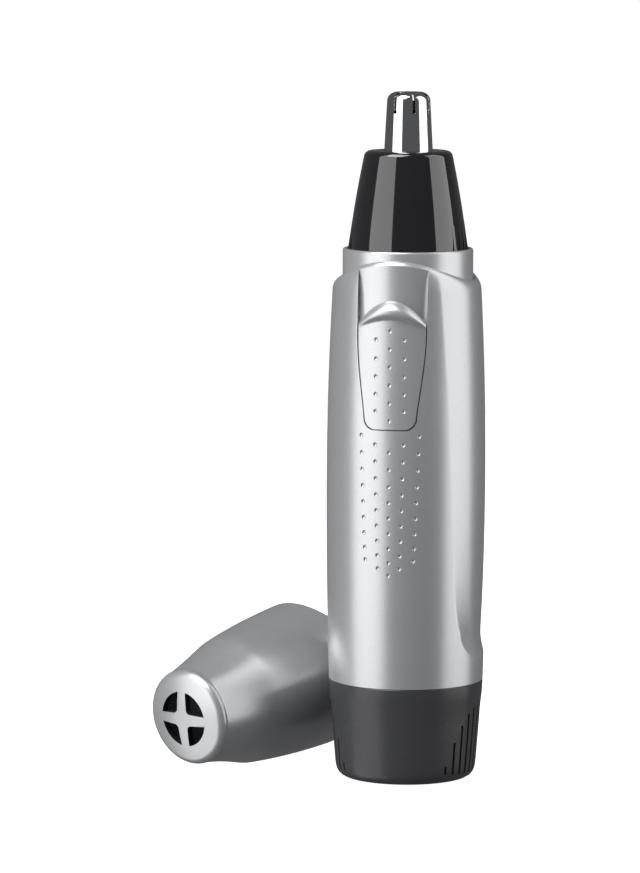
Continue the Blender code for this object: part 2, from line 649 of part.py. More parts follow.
def make_rotor():
    shaft_foot = MOTOR_FOOT_Z - 1.6 * MM
    shaft_top = TONGUE_FOOT_Z - 2.0 * MM
    shaft = rod("motor_shaft", SHAFT_RADIUS, shaft_foot, shaft_top, steel(), 16)
    bore = SHAFT_RADIUS + GAP
    commutator = tube("commutator", COMMUTATOR_RADIUS, bore, MOTOR_FOOT_Z + 0.5 * MM,
                      ARMATURE_FOOT_Z - 1.4 * MM, copper(), 24)
    outline = []
    for pole in range(3):
        middle = math.radians(120.0 * pole)
        half_turn = [math.asin(ARM_HALF_WIDTH / r) for r in (HUB_RADIUS, SHOE_RADIUS)]
        reach = math.radians(46.0)
        outline += [(HUB_RADIUS, middle - half_turn[0]), (SHOE_RADIUS, middle - half_turn[1])]
        outline.append((SHOE_RADIUS, middle - reach))
        outline += [(ARMATURE_RADIUS, middle - reach + 2.0 * reach * i / 6) for i in range(7)]
        outline.append((SHOE_RADIUS, middle + reach))
        outline += [(SHOE_RADIUS, middle + half_turn[1]), (HUB_RADIUS, middle + half_turn[0])]
    points = [(r * math.cos(a), r * math.sin(a)) for r, a in outline]
    core = upright("armature_core", points, ARMATURE_FOOT_Z, ARMATURE_TOP_Z, steel())
    cut(core, rod("core_bore", bore, ARMATURE_FOOT_Z - MM, ARMATURE_TOP_Z + MM))
    coils = []
    for pole in range(3):
        number = str(pole + 1)
        low, high = ARMATURE_FOOT_Z - 0.9 * MM, ARMATURE_TOP_Z + 0.9 * MM
        coil_half, arm_half = 1.7 * MM, ARM_HALF_WIDTH + GAP
        inner = HUB_RADIUS + GAP
        outer = math.sqrt(SHOE_RADIUS ** 2 - coil_half ** 2) - GAP
        coil_low, coil_high = (inner, -coil_half, low), (outer, coil_half, high)
        winding = block("armature_coil_" + number, coil_low, coil_high, copper())
        eye_low, eye_high = ARMATURE_FOOT_Z - GAP, ARMATURE_TOP_Z + GAP
        eye = block("coil_eye_" + number, (MM, -arm_half, eye_low), (4.0 * MM, arm_half, eye_high))
        for thing in (winding, eye):
            thing.rotation_euler.z = math.radians(120.0 * pole)
        coils.append(cut(winding, eye))
    bottom = MOTOR_TOP_Z + 3.4 * MM
    coupling = rod("drive_coupling", COUPLING_RADIUS, bottom, COUPLING_TOP_Z, black_plastic())
    cut(coupling, rod("coupling_bore", bore, bottom - MM, shaft_top + GAP))
    slot_half = TONGUE_HALF_THICKNESS + GAP
    slot_foot = TONGUE_FOOT_Z - GAP
    slot_low = (-4.0 * MM, -slot_half, slot_foot)
    cut(coupling, block("coupling_slot", slot_low, (4.0 * MM, slot_half, CUT_TOP_Z)))
    return [shaft, commutator, core] + coils + [coupling]


CUTTER_SHAFT_RADIUS = 0.9 * MM
CUTTER_TOP_Z = CONE_TOP_Z + 1.7 * MM
BLADE_TOP_Z = TIP_Z - 1.7 * MM
BLADE_FOOT_Z = CONE_TOP_Z - 2.6 * MM
BLADE_REACH = TIP_RADIUS - TIP_WALL - 0.35 * MM
PLUG_FOOT_Z = COLLAR_TOP_Z + 3.8 * MM
PLUG_FLOOR = 3.0 * MM


def make_cutter():
    tongue_top = COUPLING_TOP_Z + 0.6 * MM
    shaft = rod("cutter_shaft", CUTTER_SHAFT_RADIUS, tongue_top - 0.3 * MM, CUTTER_TOP_Z, steel(), 16)
    low = (-TONGUE_HALF_WIDTH, -TONGUE_HALF_THICKNESS, TONGUE_FOOT_Z)
    high = (TONGUE_HALF_WIDTH, TONGUE_HALF_THICKNESS, tongue_top)
    fuse(shaft, block("tongue", low, high))
    hub = rod("cutter_blade", 1.8 * MM, BLADE_FOOT_Z, BLADE_FOOT_Z + 3.6 * MM, steel(), 20)
    reach, shy = BLADE_REACH, 0.9 * MM
    step = BLADE_FOOT_Z + 1.4 * MM
    outline = [(reach, step), (reach, BLADE_TOP_Z - shy), (reach - shy, BLADE_TOP_Z)]
    outline += [(-x, z) for x, z in reversed(outline)]
    fuse(hub, facing("blade_wing", outline, -0.35 * MM, 0.35 * MM))
    bore_top = CUTTER_TOP_Z + GAP
    cut(hub, rod("blade_bore", CUTTER_SHAFT_RADIUS + GAP, BLADE_FOOT_Z - MM, bore_top, segments=16))
    spring_foot = PLUG_FOOT_Z + PLUG_FLOOR + 0.6 * MM
    spring_top = BLADE_FOOT_Z - 0.6 * MM
    spring = coil("cutter_spring", (1.8 * MM, 1.8 * MM), spring_foot, spring_top, 5, 0.22 * MM, steel())
    return [shaft, hub, spring]


def cone_radius(z):
    """Outer radius of the head cover between the collar and its top edge."""
    share = (z - COLLAR_TOP_Z) / (CONE_TOP_Z - COLLAR_TOP_Z)
    return CONE_FOOT_RADIUS - (CONE_FOOT_RADIUS - CONE_TOP_RADIUS) * share ** 1.3


def make_head():
    roof = 1.9 * MM
    shares = [0.0, 0.2, 0.4, 0.6, 0.8, 0.93]
    heights = [COLLAR_TOP_Z + (CONE_TOP_Z - COLLAR_TOP_Z) * share for share in shares]
    edge = cone_radius(heights[-1])
    profile = [(CONE_FOOT_RADIUS, CONE_SKIRT_Z)] + [(cone_radius(z), z) for z in heights]
    profile += [(edge - 0.35 * MM, CONE_TOP_Z - 0.4 * MM), (edge - 0.95 * MM, CONE_TOP_Z)]
    hole = TIP_FOOT_RADIUS + GAP
    profile += [
        (hole, CONE_TOP_Z), (hole, CONE_TOP_Z - roof), (7.2 * MM, CONE_TOP_Z - roof),
        (CONE_BORE, PLUG_FOOT_Z + MM), (CONE_BORE, CONE_SKIRT_Z),
    ]
    cover = turned("head_cover", profile, gloss_black())
    inner, outer = CONE_BORE - MM, BOSS_RADIUS + HEAD_LUG_REACH + GAP
    low, high = HEAD_LUG_Z - GAP, HEAD_LUG_Z + HEAD_LUG_HEIGHT + GAP
    for side, angle in (("front", -90.0), ("back", 90.0)):
        tools = bayonet_slot("head_slot_" + side, inner, outer, low, high, CONE_SKIRT_Z - MM, angle, -TWIST)
        for tool in tools:
            cut(cover, tool)

    foot = PLUG_FOOT_Z + PLUG_FLOOR + 4.0 * MM
    flange_top = CONE_TOP_Z - roof - GAP
    flange_foot = flange_top - 0.8 * MM
    inset = TIP_WALL
    profile = [
        (TIP_FOOT_RADIUS, foot), (TIP_FOOT_RADIUS, flange_foot), (6.4 * MM, flange_foot),
        (6.4 * MM, flange_top), (TIP_FOOT_RADIUS, flange_top), (TIP_RADIUS, TIP_Z - 1.6 * MM),
        (TIP_RADIUS - 0.35 * MM, TIP_Z - 0.75 * MM), (TIP_RADIUS - 1.1 * MM, TIP_Z - 0.25 * MM),
        (TIP_RADIUS - 2.2 * MM, TIP_Z), (0.6 * MM, TIP_Z), (0.6 * MM, TIP_Z - inset),
        (TIP_RADIUS - 2.2 * MM, TIP_Z - inset), (TIP_RADIUS - 1.3 * MM, TIP_Z - 0.8 * MM),
        (TIP_RADIUS - inset, TIP_Z - 1.7 * MM), (TIP_FOOT_RADIUS - inset, flange_top),
        (TIP_FOOT_RADIUS - inset, foot),
    ]
    tip = turned("shear_tube", profile, chrome(), 42)
    half = 0.5 * TIP_SLOT_WIDTH
    for number in range(TIP_SLOTS):
        slot_low = (1.4 * MM, -half, TIP_Z - TIP_SLOT_DEPTH)
        slot = block("tip_slot_%d" % number, slot_low, (6.0 * MM, half, TIP_Z + MM))
        slot.rotation_euler.z = 2.0 * math.pi * number / TIP_SLOTS + math.radians(-63.0)
        cut(tip, slot)

    plug_radius = 6.9 * MM
    plug_bore = TIP_FOOT_RADIUS + 0.8 * MM
    plug_top = flange_foot - GAP
    shaft_bore = CUTTER_SHAFT_RADIUS + GAP
    floor_top = PLUG_FOOT_Z + PLUG_FLOOR
    profile = [
        (plug_radius, PLUG_FOOT_Z), (plug_radius, plug_top), (plug_bore, plug_top),
        (plug_bore, floor_top), (shaft_bore, floor_top), (shaft_bore, PLUG_FOOT_Z),
    ]
    plug = turned("head_plug", profile, black_plastic())
    return cover, tip, plug


def make_hair_seal():
    low = BOSS_TOP_Z + GAP
    return tube("hair_seal", 5.0 * MM, 2.1 * MM, low, low + 0.9 * MM, rubber(), 24)


SEAL_Z = BASE_TOP_Z + 1.2 * MM
SEAL_RADIUS = 12.4 * MM
SEAL_THICKNESS = 0.3 * MM
CONTACT_CUP_Z = 2.2 * MM


def make_base():
    top = BASE_TOP_Z - 0.5 * GAP
    drop = (BASE_RADIUS - BASE_FOOT_RADIUS)
    seat = SPIGOT_RADIUS - SPIGOT_WALL
    inner = BASE_FOOT_RADIUS - BASE_WALL
    groove = SEAL_RADIUS - SEAL_THICKNESS - GAP
    groove_low, groove_high = SEAL_Z - 2.0 * SEAL_THICKNESS, SEAL_Z + 2.0 * SEAL_THICKNESS
    profile = [
        (BASE_FLAT_RADIUS, 0.0), (BASE_FOOT_RADIUS - 0.65 * MM, 0.7 * MM),
        (BASE_FOOT_RADIUS, 2.4 * MM), (BASE_FOOT_RADIUS + 0.45 * drop, 0.5 * top),
        (BASE_FOOT_RADIUS + 0.7 * drop, 0.75 * top), (BASE_RADIUS, top),
        (SPIGOT_RADIUS, top), (SPIGOT_RADIUS, groove_low), (groove, groove_low),
        (groove, groove_high), (SPIGOT_RADIUS, groove_high), (SPIGOT_RADIUS, SPIGOT_TOP_Z),
        (seat, SPIGOT_TOP_Z), (seat, 0.8 * top), (inner, 0.65 * top), (inner, BASE_FLOOR),
    ]
    cover = turned_solid("base_cover", profile, dark_plastic())
    slot_inner = HOUSING_BORE - BASE_LUG_REACH - GAP
    low, high = BASE_LUG_Z - GAP, BASE_LUG_Z + BASE_LUG_HEIGHT + GAP
    for side, angle in (("right", 0.0), ("left", 180.0)):
        tools = bayonet_slot("base_slot_" + side, slot_inner, HOUSING_BORE + MM, low, high,
                             SPIGOT_TOP_Z + MM, angle, TWIST)
        for tool in tools:
            cut(cover, tool)
    seal = turned("base_seal", [
        (SEAL_RADIUS + SEAL_THICKNESS * math.cos(a), SEAL_Z + SEAL_THICKNESS * math.sin(a))
        for a in (math.pi * i / 4.0 for i in range(8))
    ], rubber())
    cup_outer = STRIP_INNER + STRIP_THICKNESS
    cup_top = BASE_TOP_Z - 1.5 * MM - GAP
    floor_top = CONTACT_CUP_Z + STRIP_THICKNESS
    cup = turned_solid("base_contact", [
        (cup_outer, CONTACT_CUP_Z), (cup_outer, cup_top), (STRIP_INNER, cup_top), (STRIP_INNER, floor_top),
    ], steel())
    wire = 0.35 * MM
    spring_foot = floor_top + wire + GAP
    spring_top = CELL_FOOT_Z - wire - GAP
    spring = coil("battery_spring", (6.2 * MM, 3.6 * MM), spring_foot, spring_top, 4, wire, steel())
    return cover, seal, cup, spring


CARRIER_FRONT = TRACK_BACK_Y - GAP
CARRIER_THICKNESS = 0.95 * MM
CARRIER_HEIGHT = 16.0 * MM


def make_switch():
    slider = facing("switch_slider", track_outline(SLIDER_TOP_Z, 0.25 * MM, 3.7 * MM),
                    0.5 * BELLY_RADIUS, BELLY_RADIUS + 2.0 * MM, silver_paint())
    combine(slider, housing_form("slider_form"), "INTERSECT")
    under = rod("slider_under", TRACK_RADIUS + GAP, TRACK_FOOT_Z - MM, CUT_TOP_Z, segments=SEGMENTS)
    cut(slider, under)
    half = TRACK_HALF_WIDTH - 0.5 * MM
    steps = 10
    xs = [half - 2.0 * half * i / steps for i in range(steps + 1)]
    crest = [(x, SLIDER_TOP_Z - 0.5 * MM - 3.4 * MM * (x / half) ** 2) for x in xs]
    foot = [(-x, SLIDER_TOP_Z - 3.5 * MM - 1.5 * MM * (x / half) ** 2) for x in xs]
    ridge = facing("thumb_ridge", crest + foot, TRACK_RADIUS + 0.6 * MM, BELLY_RADIUS + 3.0 * MM)
    ridge_radius = round_radius(SLIDER_TOP_Z) + RIDGE_HEIGHT
    combine(ridge, rod("ridge_form", ridge_radius, 0.0, CUT_TOP_Z, segments=SEGMENTS), "INTERSECT")
    fuse(slider, ridge)
    stem_low = (-STEM_HALF_WIDTH, -TRACK_RADIUS - 0.6 * MM, STEM_FOOT_Z)
    stem_high = (STEM_HALF_WIDTH, -CARRIER_FRONT + CARRIER_THICKNESS, STEM_FOOT_Z + STEM_HEIGHT)
    fuse(slider, block("slider_stem", stem_low, stem_high))

    front, back = -CARRIER_FRONT, -CARRIER_FRONT + CARRIER_THICKNESS
    low, high = TRACK_FOOT_Z, TRACK_FOOT_Z + CARRIER_HEIGHT
    carrier = block("switch_carrier", (-4.0 * MM, front, low), (4.0 * MM, back, high), black_plastic())
    room = STEM_HALF_WIDTH + GAP
    hole_low = (-room, front - MM, STEM_FOOT_Z - GAP)
    hole_high = (room, back + MM, STEM_FOOT_Z + STEM_HEIGHT + GAP)
    cut(carrier, block("carrier_hole", hole_low, hole_high))

    face = -CONTACT_Y - GAP
    contact_low = (-2.0 * MM, face - 0.35 * MM, TRACK_FOOT_Z + 0.3 * MM)
    contact_high = (2.0 * MM, face, LOWER_CONTACT_TOP_Z - 0.4 * MM)
    contact = block("moving_contact", contact_low, contact_high, brass())
    return slider, carrier, contact


def cap_radius(along):
    """Outer radius of the cap at a distance from its mouth."""
    if along < CAP_KINK_Z:
        share = max(0.0, along) / CAP_KINK_Z
        return CAP_MOUTH_RADIUS - (CAP_MOUTH_RADIUS - CAP_KINK_RADIUS) * share ** 1.9
    share = (along - CAP_KINK_Z) / (CAP_EDGE_Z - CAP_KINK_Z)
    hollow = CAP_HOLLOW * math.sin(math.pi * min(1.0, share) ** 0.7)
    return CAP_KINK_RADIUS - (CAP_KINK_RADIUS - CAP_EDGE_RADIUS) * share - hollow


def cap_row(along, inward, wave):
    """One ring of the cap; its mouth edge follows the housing's shoulder edge."""
    row = []
    for i in range(SEGMENTS):
        turn = 2.0 * math.pi * i / SEGMENTS - math.pi
        radius = cap_radius(along) - inward
        row.append((radius * math.sin(turn), -radius * math.cos(turn), along + wave * shoulder_wave(turn)))
    return row


def cap_dome(share, inward):
    """One ring of the shallow dome that closes the cap, shrinking to its middle as share grows."""
    radius = CAP_EDGE_RADIUS * (1.0 - share)
    height = CAP_EDGE_Z + CAP_DOME * (1.0 - (1.0 - share) ** 2) - inward
    return [(radius * math.sin(turn), -radius * math.cos(turn), height)
            for turn in (2.0 * math.pi * i / SEGMENTS - math.pi for i in range(SEGMENTS))]


def make_cap():
    steps = 6
    levels = [CAP_KINK_Z * i / steps for i in range(2, steps + 1)]
    levels += [CAP_KINK_Z + (CAP_EDGE_Z - CAP_KINK_Z) * i / 3 for i in (0.5, 1, 2)]
    outer = [cap_row(0.0, 0.0, 1.0)] + [cap_row(z, 0.0, 0.0) for z in levels]
    outer.append(cap_row(CAP_EDGE_Z - 0.3 * MM, 0.0, 0.0))
    outer += [cap_dome(share, 0.0) for share in (0.04, 0.4, 0.8)]
    cap = rings("protective_cap", outer, silver_paint())
    inside = [cap_row(-MM, CAP_WALL, 1.0)] + [cap_row(z, CAP_WALL, 0.0) for z in levels]
    inside.append(cap_row(CAP_EDGE_Z - CAP_WALL, CAP_WALL, 0.0))
    inside.append(cap_dome(0.6, CAP_WALL))
    cut(cap, rings("cap_inside", inside))
    bar = 0.5 * CAP_VENT_BAR
    first = math.asin(bar / CAP_VENT_RADIUS)
    sweep = [first + (0.5 * math.pi - 2.0 * first) * i / steps for i in range(steps + 1)]
    for number in range(4):
        spin = 0.5 * math.pi * number
        arc = [(CAP_VENT_RADIUS * math.cos(a), CAP_VENT_RADIUS * math.sin(a)) for a in sweep]
        corner = [(1.6 * bar, 1.6 * bar)] + arc
        way, side = math.cos(spin), math.sin(spin)
        petal = [(x * way - y * side, x * side + y * way) for x, y in corner]
        cut(cap, upright("vent_%d" % number, petal, CAP_KINK_Z, CAP_EDGE_Z + 5.0 * MM))
    return cap


def lay_cap(cap):
    """Lay the cap on the ground at its place, heading and lean."""
    turn = Matrix.Rotation(math.radians(-CAP_HEADING), 4, "Z")
    tip_over = Matrix.Rotation(math.radians(-90.0 - CAP_LEAN), 4, "X")
    pose = turn @ tip_over
    lowest = min((pose @ vertex.co).z for vertex in cap.data.vertices)
    place = Matrix.Translation((CAP_MOUTH.x, CAP_MOUTH.y, -lowest)) @ pose
    for thing in [cap] + [m.object for m in cap.modifiers]:
        thing.matrix_world = place @ thing.matrix_basis


def main():
    clear_scene()
    make_housing()
    make_collar()
    make_chassis()
    make_chassis_screws()
    make_battery()
    make_contacts()
    make_motor()
    make_hair_seal()
    body_axis("switch_axis", make_switch(), (0.0, -TRACK_RADIUS, TRACK_FOOT_Z))
    body_axis("rotor_axis", make_rotor() + make_cutter(), (0.0, 0.0, MOTOR_FOOT_Z))
    body_axis("head_axis", make_head(), (0.0, 0.0, COLLAR_TOP_Z))
    body_axis("base_axis", make_base(), (0.0, 0.0, BASE_TOP_Z))
    lay_cap(make_cap())
    bpy.context.view_layer.update()


main()
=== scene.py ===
import math

import bmesh
import bpy
import numpy as np
from bpy.props import FloatProperty, FloatVectorProperty, IntProperty, PointerProperty
from mathutils import Matrix, Vector


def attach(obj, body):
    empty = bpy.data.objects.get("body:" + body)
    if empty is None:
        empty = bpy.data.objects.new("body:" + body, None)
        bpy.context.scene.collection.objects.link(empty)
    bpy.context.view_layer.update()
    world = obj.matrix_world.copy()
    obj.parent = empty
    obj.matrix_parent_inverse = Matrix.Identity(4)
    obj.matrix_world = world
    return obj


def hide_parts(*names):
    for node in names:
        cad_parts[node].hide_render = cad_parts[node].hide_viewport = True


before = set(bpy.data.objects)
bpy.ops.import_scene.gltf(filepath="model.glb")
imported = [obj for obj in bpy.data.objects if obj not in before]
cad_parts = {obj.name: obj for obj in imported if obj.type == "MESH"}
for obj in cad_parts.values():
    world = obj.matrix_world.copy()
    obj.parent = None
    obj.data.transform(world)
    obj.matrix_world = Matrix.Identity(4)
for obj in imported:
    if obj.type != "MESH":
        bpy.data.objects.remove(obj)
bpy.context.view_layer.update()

bl_info = {
    "name": "Nose Hair Trimmer",
    "version": (1, 0, 0),
    "blender": (4, 5, 0),
    "location": "3D View > Sidebar > Trimmer",
    "description": "Shapes and finishes the pieces of a battery nose hair trimmer and its loose cap",
    "category": "Add Mesh",
}

MM = 0.001


# ---- sizes and colours a user would change -------------------------------------------------------
def length(name, description, value):
    return FloatProperty(name=name, description=description, default=value * MM, unit="LENGTH", precision=5)


def colour(name, description, value):
    return FloatVectorProperty(name=name, description=description, default=value, size=3, min=0.0, max=1.0,
                               subtype="COLOR")


class HousingSizes(bpy.types.PropertyGroup):
    foot: length("Foot", "Height of the joint with the base cover", 19.0)
    foot_radius: length("Foot radius", "Radius at the joint with the base cover", 14.93)
    belly: length("Belly", "Height of the widest level", 56.0)
    belly_radius: length("Belly radius", "Radius at the widest level", 15.5)
    shoulder: length("Shoulder", "Lowest level of the shoulder edge", 96.6)
    shoulder_radius: length("Shoulder radius", "Radius just under the shoulder", 14.35)
    shoulder_rise: length("Shoulder rise", "How much higher the edge is at front and back", 4.3)
    rounding: length("Rounding", "Height of the rounded shoulder", 1.9)
    bore: length("Bore", "Radius of the inside", 12.68)
    scoop_depth: length("Scoop depth", "Depth of the hollow along each side", 0.27)
    scoop_pool: length("Scoop pool", "Extra depth at the lower end of each hollow", 0.46)
    scoop_bank: length("Scoop bank", "Width over which a hollow reaches its depth", 4.4)
    dimple: length("Dimple", "Radius of a grip dimple", 0.5)


class SwitchSizes(bpy.types.PropertyGroup):
    floor_radius: length("Floor radius", "Radius of the track's floor round the axis", 13.55)
    foot: length("Foot", "Lower end of the track", 68.8)
    taper: length("Taper", "Level where the track reaches its full width", 87.5)
    half_width: length("Half width", "Half width of the track at the top", 6.8)
    foot_half_width: length("Foot half width", "Half width of the track at its foot", 5.2)
    corner: length("Corner", "Radius of the track's lower corners", 2.2)
    clearance: length("Clearance", "Gap between the slider and its track", 0.22)
    top: length("Top", "Upper end of the slider", 93.4)
    ridge: length("Ridge", "How far the thumb ridge stands out", 1.0)


class HeadSizes(bpy.types.PropertyGroup):
    collar_top: length("Collar top", "Height of the collar's rim", 102.5)
    collar_radius: length("Collar radius", "Outer radius of the collar", 12.55)
    socket_radius: length("Socket radius", "Radius inside the collar's rim", 11.65)
    cone_top: length("Cone top", "Height of the head cover", 121.2)
    cone_foot_radius: length("Cone foot radius", "Radius of the head cover at the collar", 11.3)
    cone_top_radius: length("Cone top radius", "Radius of the head cover at its top", 8.3)
    tip_top: length("Tip top", "Height of the cutting tip", 132.4)
    tip_radius: length("Tip radius", "Radius of the cutting tip near its top", 4.15)
    tip_foot_radius: length("Tip foot radius", "Radius of the tip where it leaves the cone", 4.65)
    slots: IntProperty(name="Slots", description="Number of hair slots in the tip", default=7, min=3, max=12)


class BaseSizes(bpy.types.PropertyGroup):
    foot_radius: length("Foot radius", "Radius just above the rounded foot", 13.6)
    flat_radius: length("Flat radius", "Radius of the face it stands on", 11.6)
    groove: length("Groove", "Width of a grip groove", 0.55)


class CapSizes(bpy.types.PropertyGroup):
    mouth_radius: length("Mouth radius", "Outer radius at the mouth", 14.7)
    kink: length("Kink", "Distance of the kink from the mouth", 24.8)
    kink_radius: length("Kink radius", "Outer radius at the kink", 12.75)
    edge: length("Edge", "Distance of the dome's edge from the mouth", 38.4)
    edge_radius: length("Edge radius", "Radius of the dome's edge", 9.45)
    dome: length("Dome", "Height of the closing dome", 1.4)
    wall: length("Wall", "Wall thickness", 1.3)
    vent_radius: length("Vent radius", "Outer radius of the air vents", 5.45)
    vent_bar: length("Vent bar", "Width of the bars between the vents", 1.55)


class Finishes(bpy.types.PropertyGroup):
    silver: colour("Silver paint", "Colour of the metallic paint", (0.66, 0.67, 0.68))
    cone: colour("Cone", "Colour of the glossy head cover", (0.012, 0.012, 0.014))
    base: colour("Base", "Colour of the satin base cover", (0.064, 0.065, 0.069))


# ---- shader maths --------------------------------------------------------------------------------
class Value:
    """A number or colour in a material; sums and products on it add Math nodes."""

    def __init__(self, finish, socket):
        self.finish = finish
        self.socket = socket

    def math(self, operation, *others):
        return self.finish.node("ShaderNodeMath", {"operation": operation}, (self,) + others)

    def __add__(self, other):
        return self.math("ADD", other)

    def __mul__(self, other):
        return self.math("MULTIPLY", other)

    __radd__ = __add__
    __rmul__ = __mul__

    def between(self, low, high):
        """0 below low, 1 above high, smooth in between."""
        settings = {"interpolation_type": "SMOOTHSTEP"}
        inputs = {"Value": self, "From Min": low, "From Max": high}
        return self.finish.node("ShaderNodeMapRange", settings, inputs)


class Finish:
    """A procedural material built round one Principled shader."""

    def __init__(self, name):
        self.material = bpy.data.materials.new(name)
        self.material.use_nodes = True
        self.tree = self.material.node_tree
        self.shader = self.tree.nodes["Principled BSDF"]
        self.place = self.node("ShaderNodeTexCoord", output="Object")

    def node(self, kind, settings=None, inputs=(), output=0):
        node = self.tree.nodes.new(kind)
        for key, value in (settings or {}).items():
            setattr(node, key, value)
        pairs = inputs.items() if isinstance(inputs, dict) else enumerate(inputs)
        for key, value in pairs:
            self.put(node.inputs[key], value)
        return Value(self, node.outputs[output])

    def put(self, socket, value):
        if isinstance(value, Value):
            self.tree.links.new(value.socket, socket)
        elif hasattr(socket.default_value, "__len__") and len(socket.default_value) == 4:
            socket.default_value = tuple(value)[:3] + (1.0,)
        else:
            socket.default_value = value

    def set(self, **sockets):
        for key, value in sockets.items():
            self.put(self.shader.inputs[key.replace("_", " ").title().replace("Ior", "IOR")], value)
        return self

    def noise(self, scale, detail=2.0, roughness=0.5, place=None):
        inputs = {"Vector": place or self.place, "Scale": scale, "Detail": detail, "Roughness": roughness}
        return self.node("ShaderNodeTexNoise", {}, inputs)

    def stretched(self, x, y, z):
        """Object coordinates scaled apart, so that a pattern runs along one way."""
        return self.node("ShaderNodeMapping", {}, {"Vector": self.place, "Scale": (x, y, z)})

    def flakes(self, scale):
        """A random grey for each small cell."""
        cells = self.node("ShaderNodeTexVoronoi", {}, {"Vector": self.place, "Scale": scale}, "Color")
        return self.node("ShaderNodeRGBToBW", {}, (cells,))

    def mix(self, amount, low, high):
        """A colour between low and high."""
        return self.node("ShaderNodeMix", {"data_type": "RGBA"}, {0: amount, 6: low, 7: high}, 2)

    def bump(self, height, strength, distance):
        inputs = {"Height": height, "Strength": strength, "Distance": distance}
        return self.set(normal=self.node("ShaderNodeBump", {}, inputs))


def shades(base, low, high):
    """The base colour darkened and lightened."""
    return [tuple(min(1.0, c * k) for c in base) for k in (low, high)]


def silver_paint(base):
    finish = Finish("painted_silver")
    flake = finish.flakes(9000.0)
    cloud = finish.noise(160.0, 3.0)
    low, high = shades(base, 0.90, 1.10)
    blend = flake * 0.7 + cloud * 0.3
    finish.set(base_color=finish.mix(blend, low, high), metallic=0.60)
    finish.set(roughness=0.28 + 0.05 * flake + 0.03 * cloud)
    return finish.bump(finish.noise(1400.0), 0.05, 0.00003).material


def gloss_black(base):
    finish = Finish("polished_black")
    haze = finish.noise(90.0, 4.0)
    low, high = shades(base, 0.85, 1.25)
    finish.set(base_color=finish.mix(haze, low, high), roughness=0.05 + 0.04 * haze)
    finish.set(coat_weight=1.0, coat_roughness=0.04, coat_ior=1.6)
    return finish.bump(finish.noise(420.0, 2.0), 0.06, 0.00006).material


def satin_dark(base):
    finish = Finish("satin_dark")
    grain = finish.noise(2600.0, 3.0, 0.6)
    cloud = finish.noise(70.0, 3.0)
    low, high = shades(base, 0.88, 1.15)
    finish.set(base_color=finish.mix(grain * 0.5 + cloud * 0.5, low, high))
    finish.set(roughness=0.22 + 0.08 * grain)
    return finish.bump(grain, 0.10, 0.00004).material


def chrome():
    finish = Finish("chrome_tip")
    wipe = finish.noise(300.0, 4.0, 0.6, finish.stretched(1.0, 1.0, 0.15))
    low, high = shades((0.86, 0.87, 0.88), 0.96, 1.04)
    finish.set(base_color=finish.mix(wipe, low, high), metallic=1.0, roughness=0.03 + 0.06 * wipe)
    return finish.bump(wipe, 0.03, 0.00002).material


def metal(name, base, roughness, along=(1.0, 1.0, 12.0)):
    """Drawn or rolled metal with fine lines along one way."""
    finish = Finish(name)
    lines = finish.noise(900.0, 3.0, 0.6, finish.stretched(*along))
    tarnish = finish.noise(220.0, 4.0)
    low, high = shades(base, 0.82, 1.08)
    finish.set(base_color=finish.mix(lines * 0.6 + tarnish * 0.4, low, high), metallic=1.0)
    finish.set(roughness=roughness + 0.14 * tarnish)
    return finish.bump(lines, 0.12, 0.00003).material


def moulded(name, base, roughness, grain_scale=1600.0, strength=0.15):
    """Plain moulded plastic, rubber or ceramic with a fine grain."""
    finish = Finish(name)
    grain = finish.noise(grain_scale, 3.0)
    cloud = finish.noise(120.0, 3.0)
    low, high = shades(base, 0.86, 1.12)
    finish.set(base_color=finish.mix(cloud * 0.6 + grain * 0.4, low, high))
    finish.set(roughness=roughness + 0.10 * grain)
    return finish.bump(grain, strength, 0.00005).material


def winding():
    """Enamelled wire laid side by side, with a painted highlight on each turn and painted shade in the
    grooves between turns.
    """
    finish = Finish("enamelled_wire")
    settings = {"wave_type": "BANDS", "bands_direction": "Z"}
    inputs = {"Vector": finish.place, "Scale": 1500.0, "Distortion": 0.4}
    wire = finish.node("ShaderNodeTexWave", settings, inputs)
    low, high = shades((0.55, 0.20, 0.08), 0.5, 1.15)
    # The colour follows the wire bands, lighter on each turn and darker between turns: painted highlight and
    # shade, besides the bump.
    finish.set(base_color=finish.mix(wire, low, high), metallic=0.85, roughness=0.28 + 0.1 * wire)
    return finish.bump(wire, 0.5, 0.0001).material


def cell_sleeve():
    """Printed film round the battery: dark with a plain lighter band near the button."""
    finish = Finish("cell_sleeve")
    parts = finish.node("ShaderNodeSeparateXYZ", {}, (finish.place,), 2)
    band = parts.between(0.0452, 0.0456)
    scuff = finish.noise(260.0, 4.0)
    film = finish.mix(band, (0.035, 0.045, 0.07), (0.62, 0.38, 0.12))
    finish.set(base_color=finish.mix(scuff * 0.25, film, (0.5, 0.5, 0.5)), metallic=0.55)
    finish.set(roughness=0.24 + 0.16 * scuff)
    return finish.bump(scuff, 0.06, 0.00003).material


# ---- modelling helpers ---------------------------------------------------------------------------
def select_only(piece=None):
    bpy.ops.object.select_all(action="DESELECT")
    if piece is not None:
        piece.select_set(True)
        bpy.context.view_layer.objects.active = piece


def named(name):
    piece = bpy.context.object
    piece.name = name
    piece.data.name = name
    return piece


def settle(piece):
    """Write the object's place, turn and scale into its mesh."""
    select_only(piece)
    bpy.ops.object.transform_apply(location=True, rotation=True, scale=True)
    return piece


def edit(piece):
    select_only(piece)
    bpy.ops.object.mode_set(mode="EDIT")
    bpy.ops.mesh.select_all(action="SELECT")


def leave():
    bpy.ops.object.mode_set(mode="OBJECT")


def leave_outward():
    """Turn the faces outwards and leave edit mode."""
    bpy.ops.mesh.normals_make_consistent(inside=False)
    leave()


def turned_to_side(tool, side, reach, turn):
    """Place a tool on the right (side 1) or left, at a turn from the sideways axis."""
    tool.location = (side * reach * math.cos(turn), reach * math.sin(turn), 0.0)
    tool.rotation_euler.z = turn if side > 0.0 else math.pi - turn
    return settle(tool)


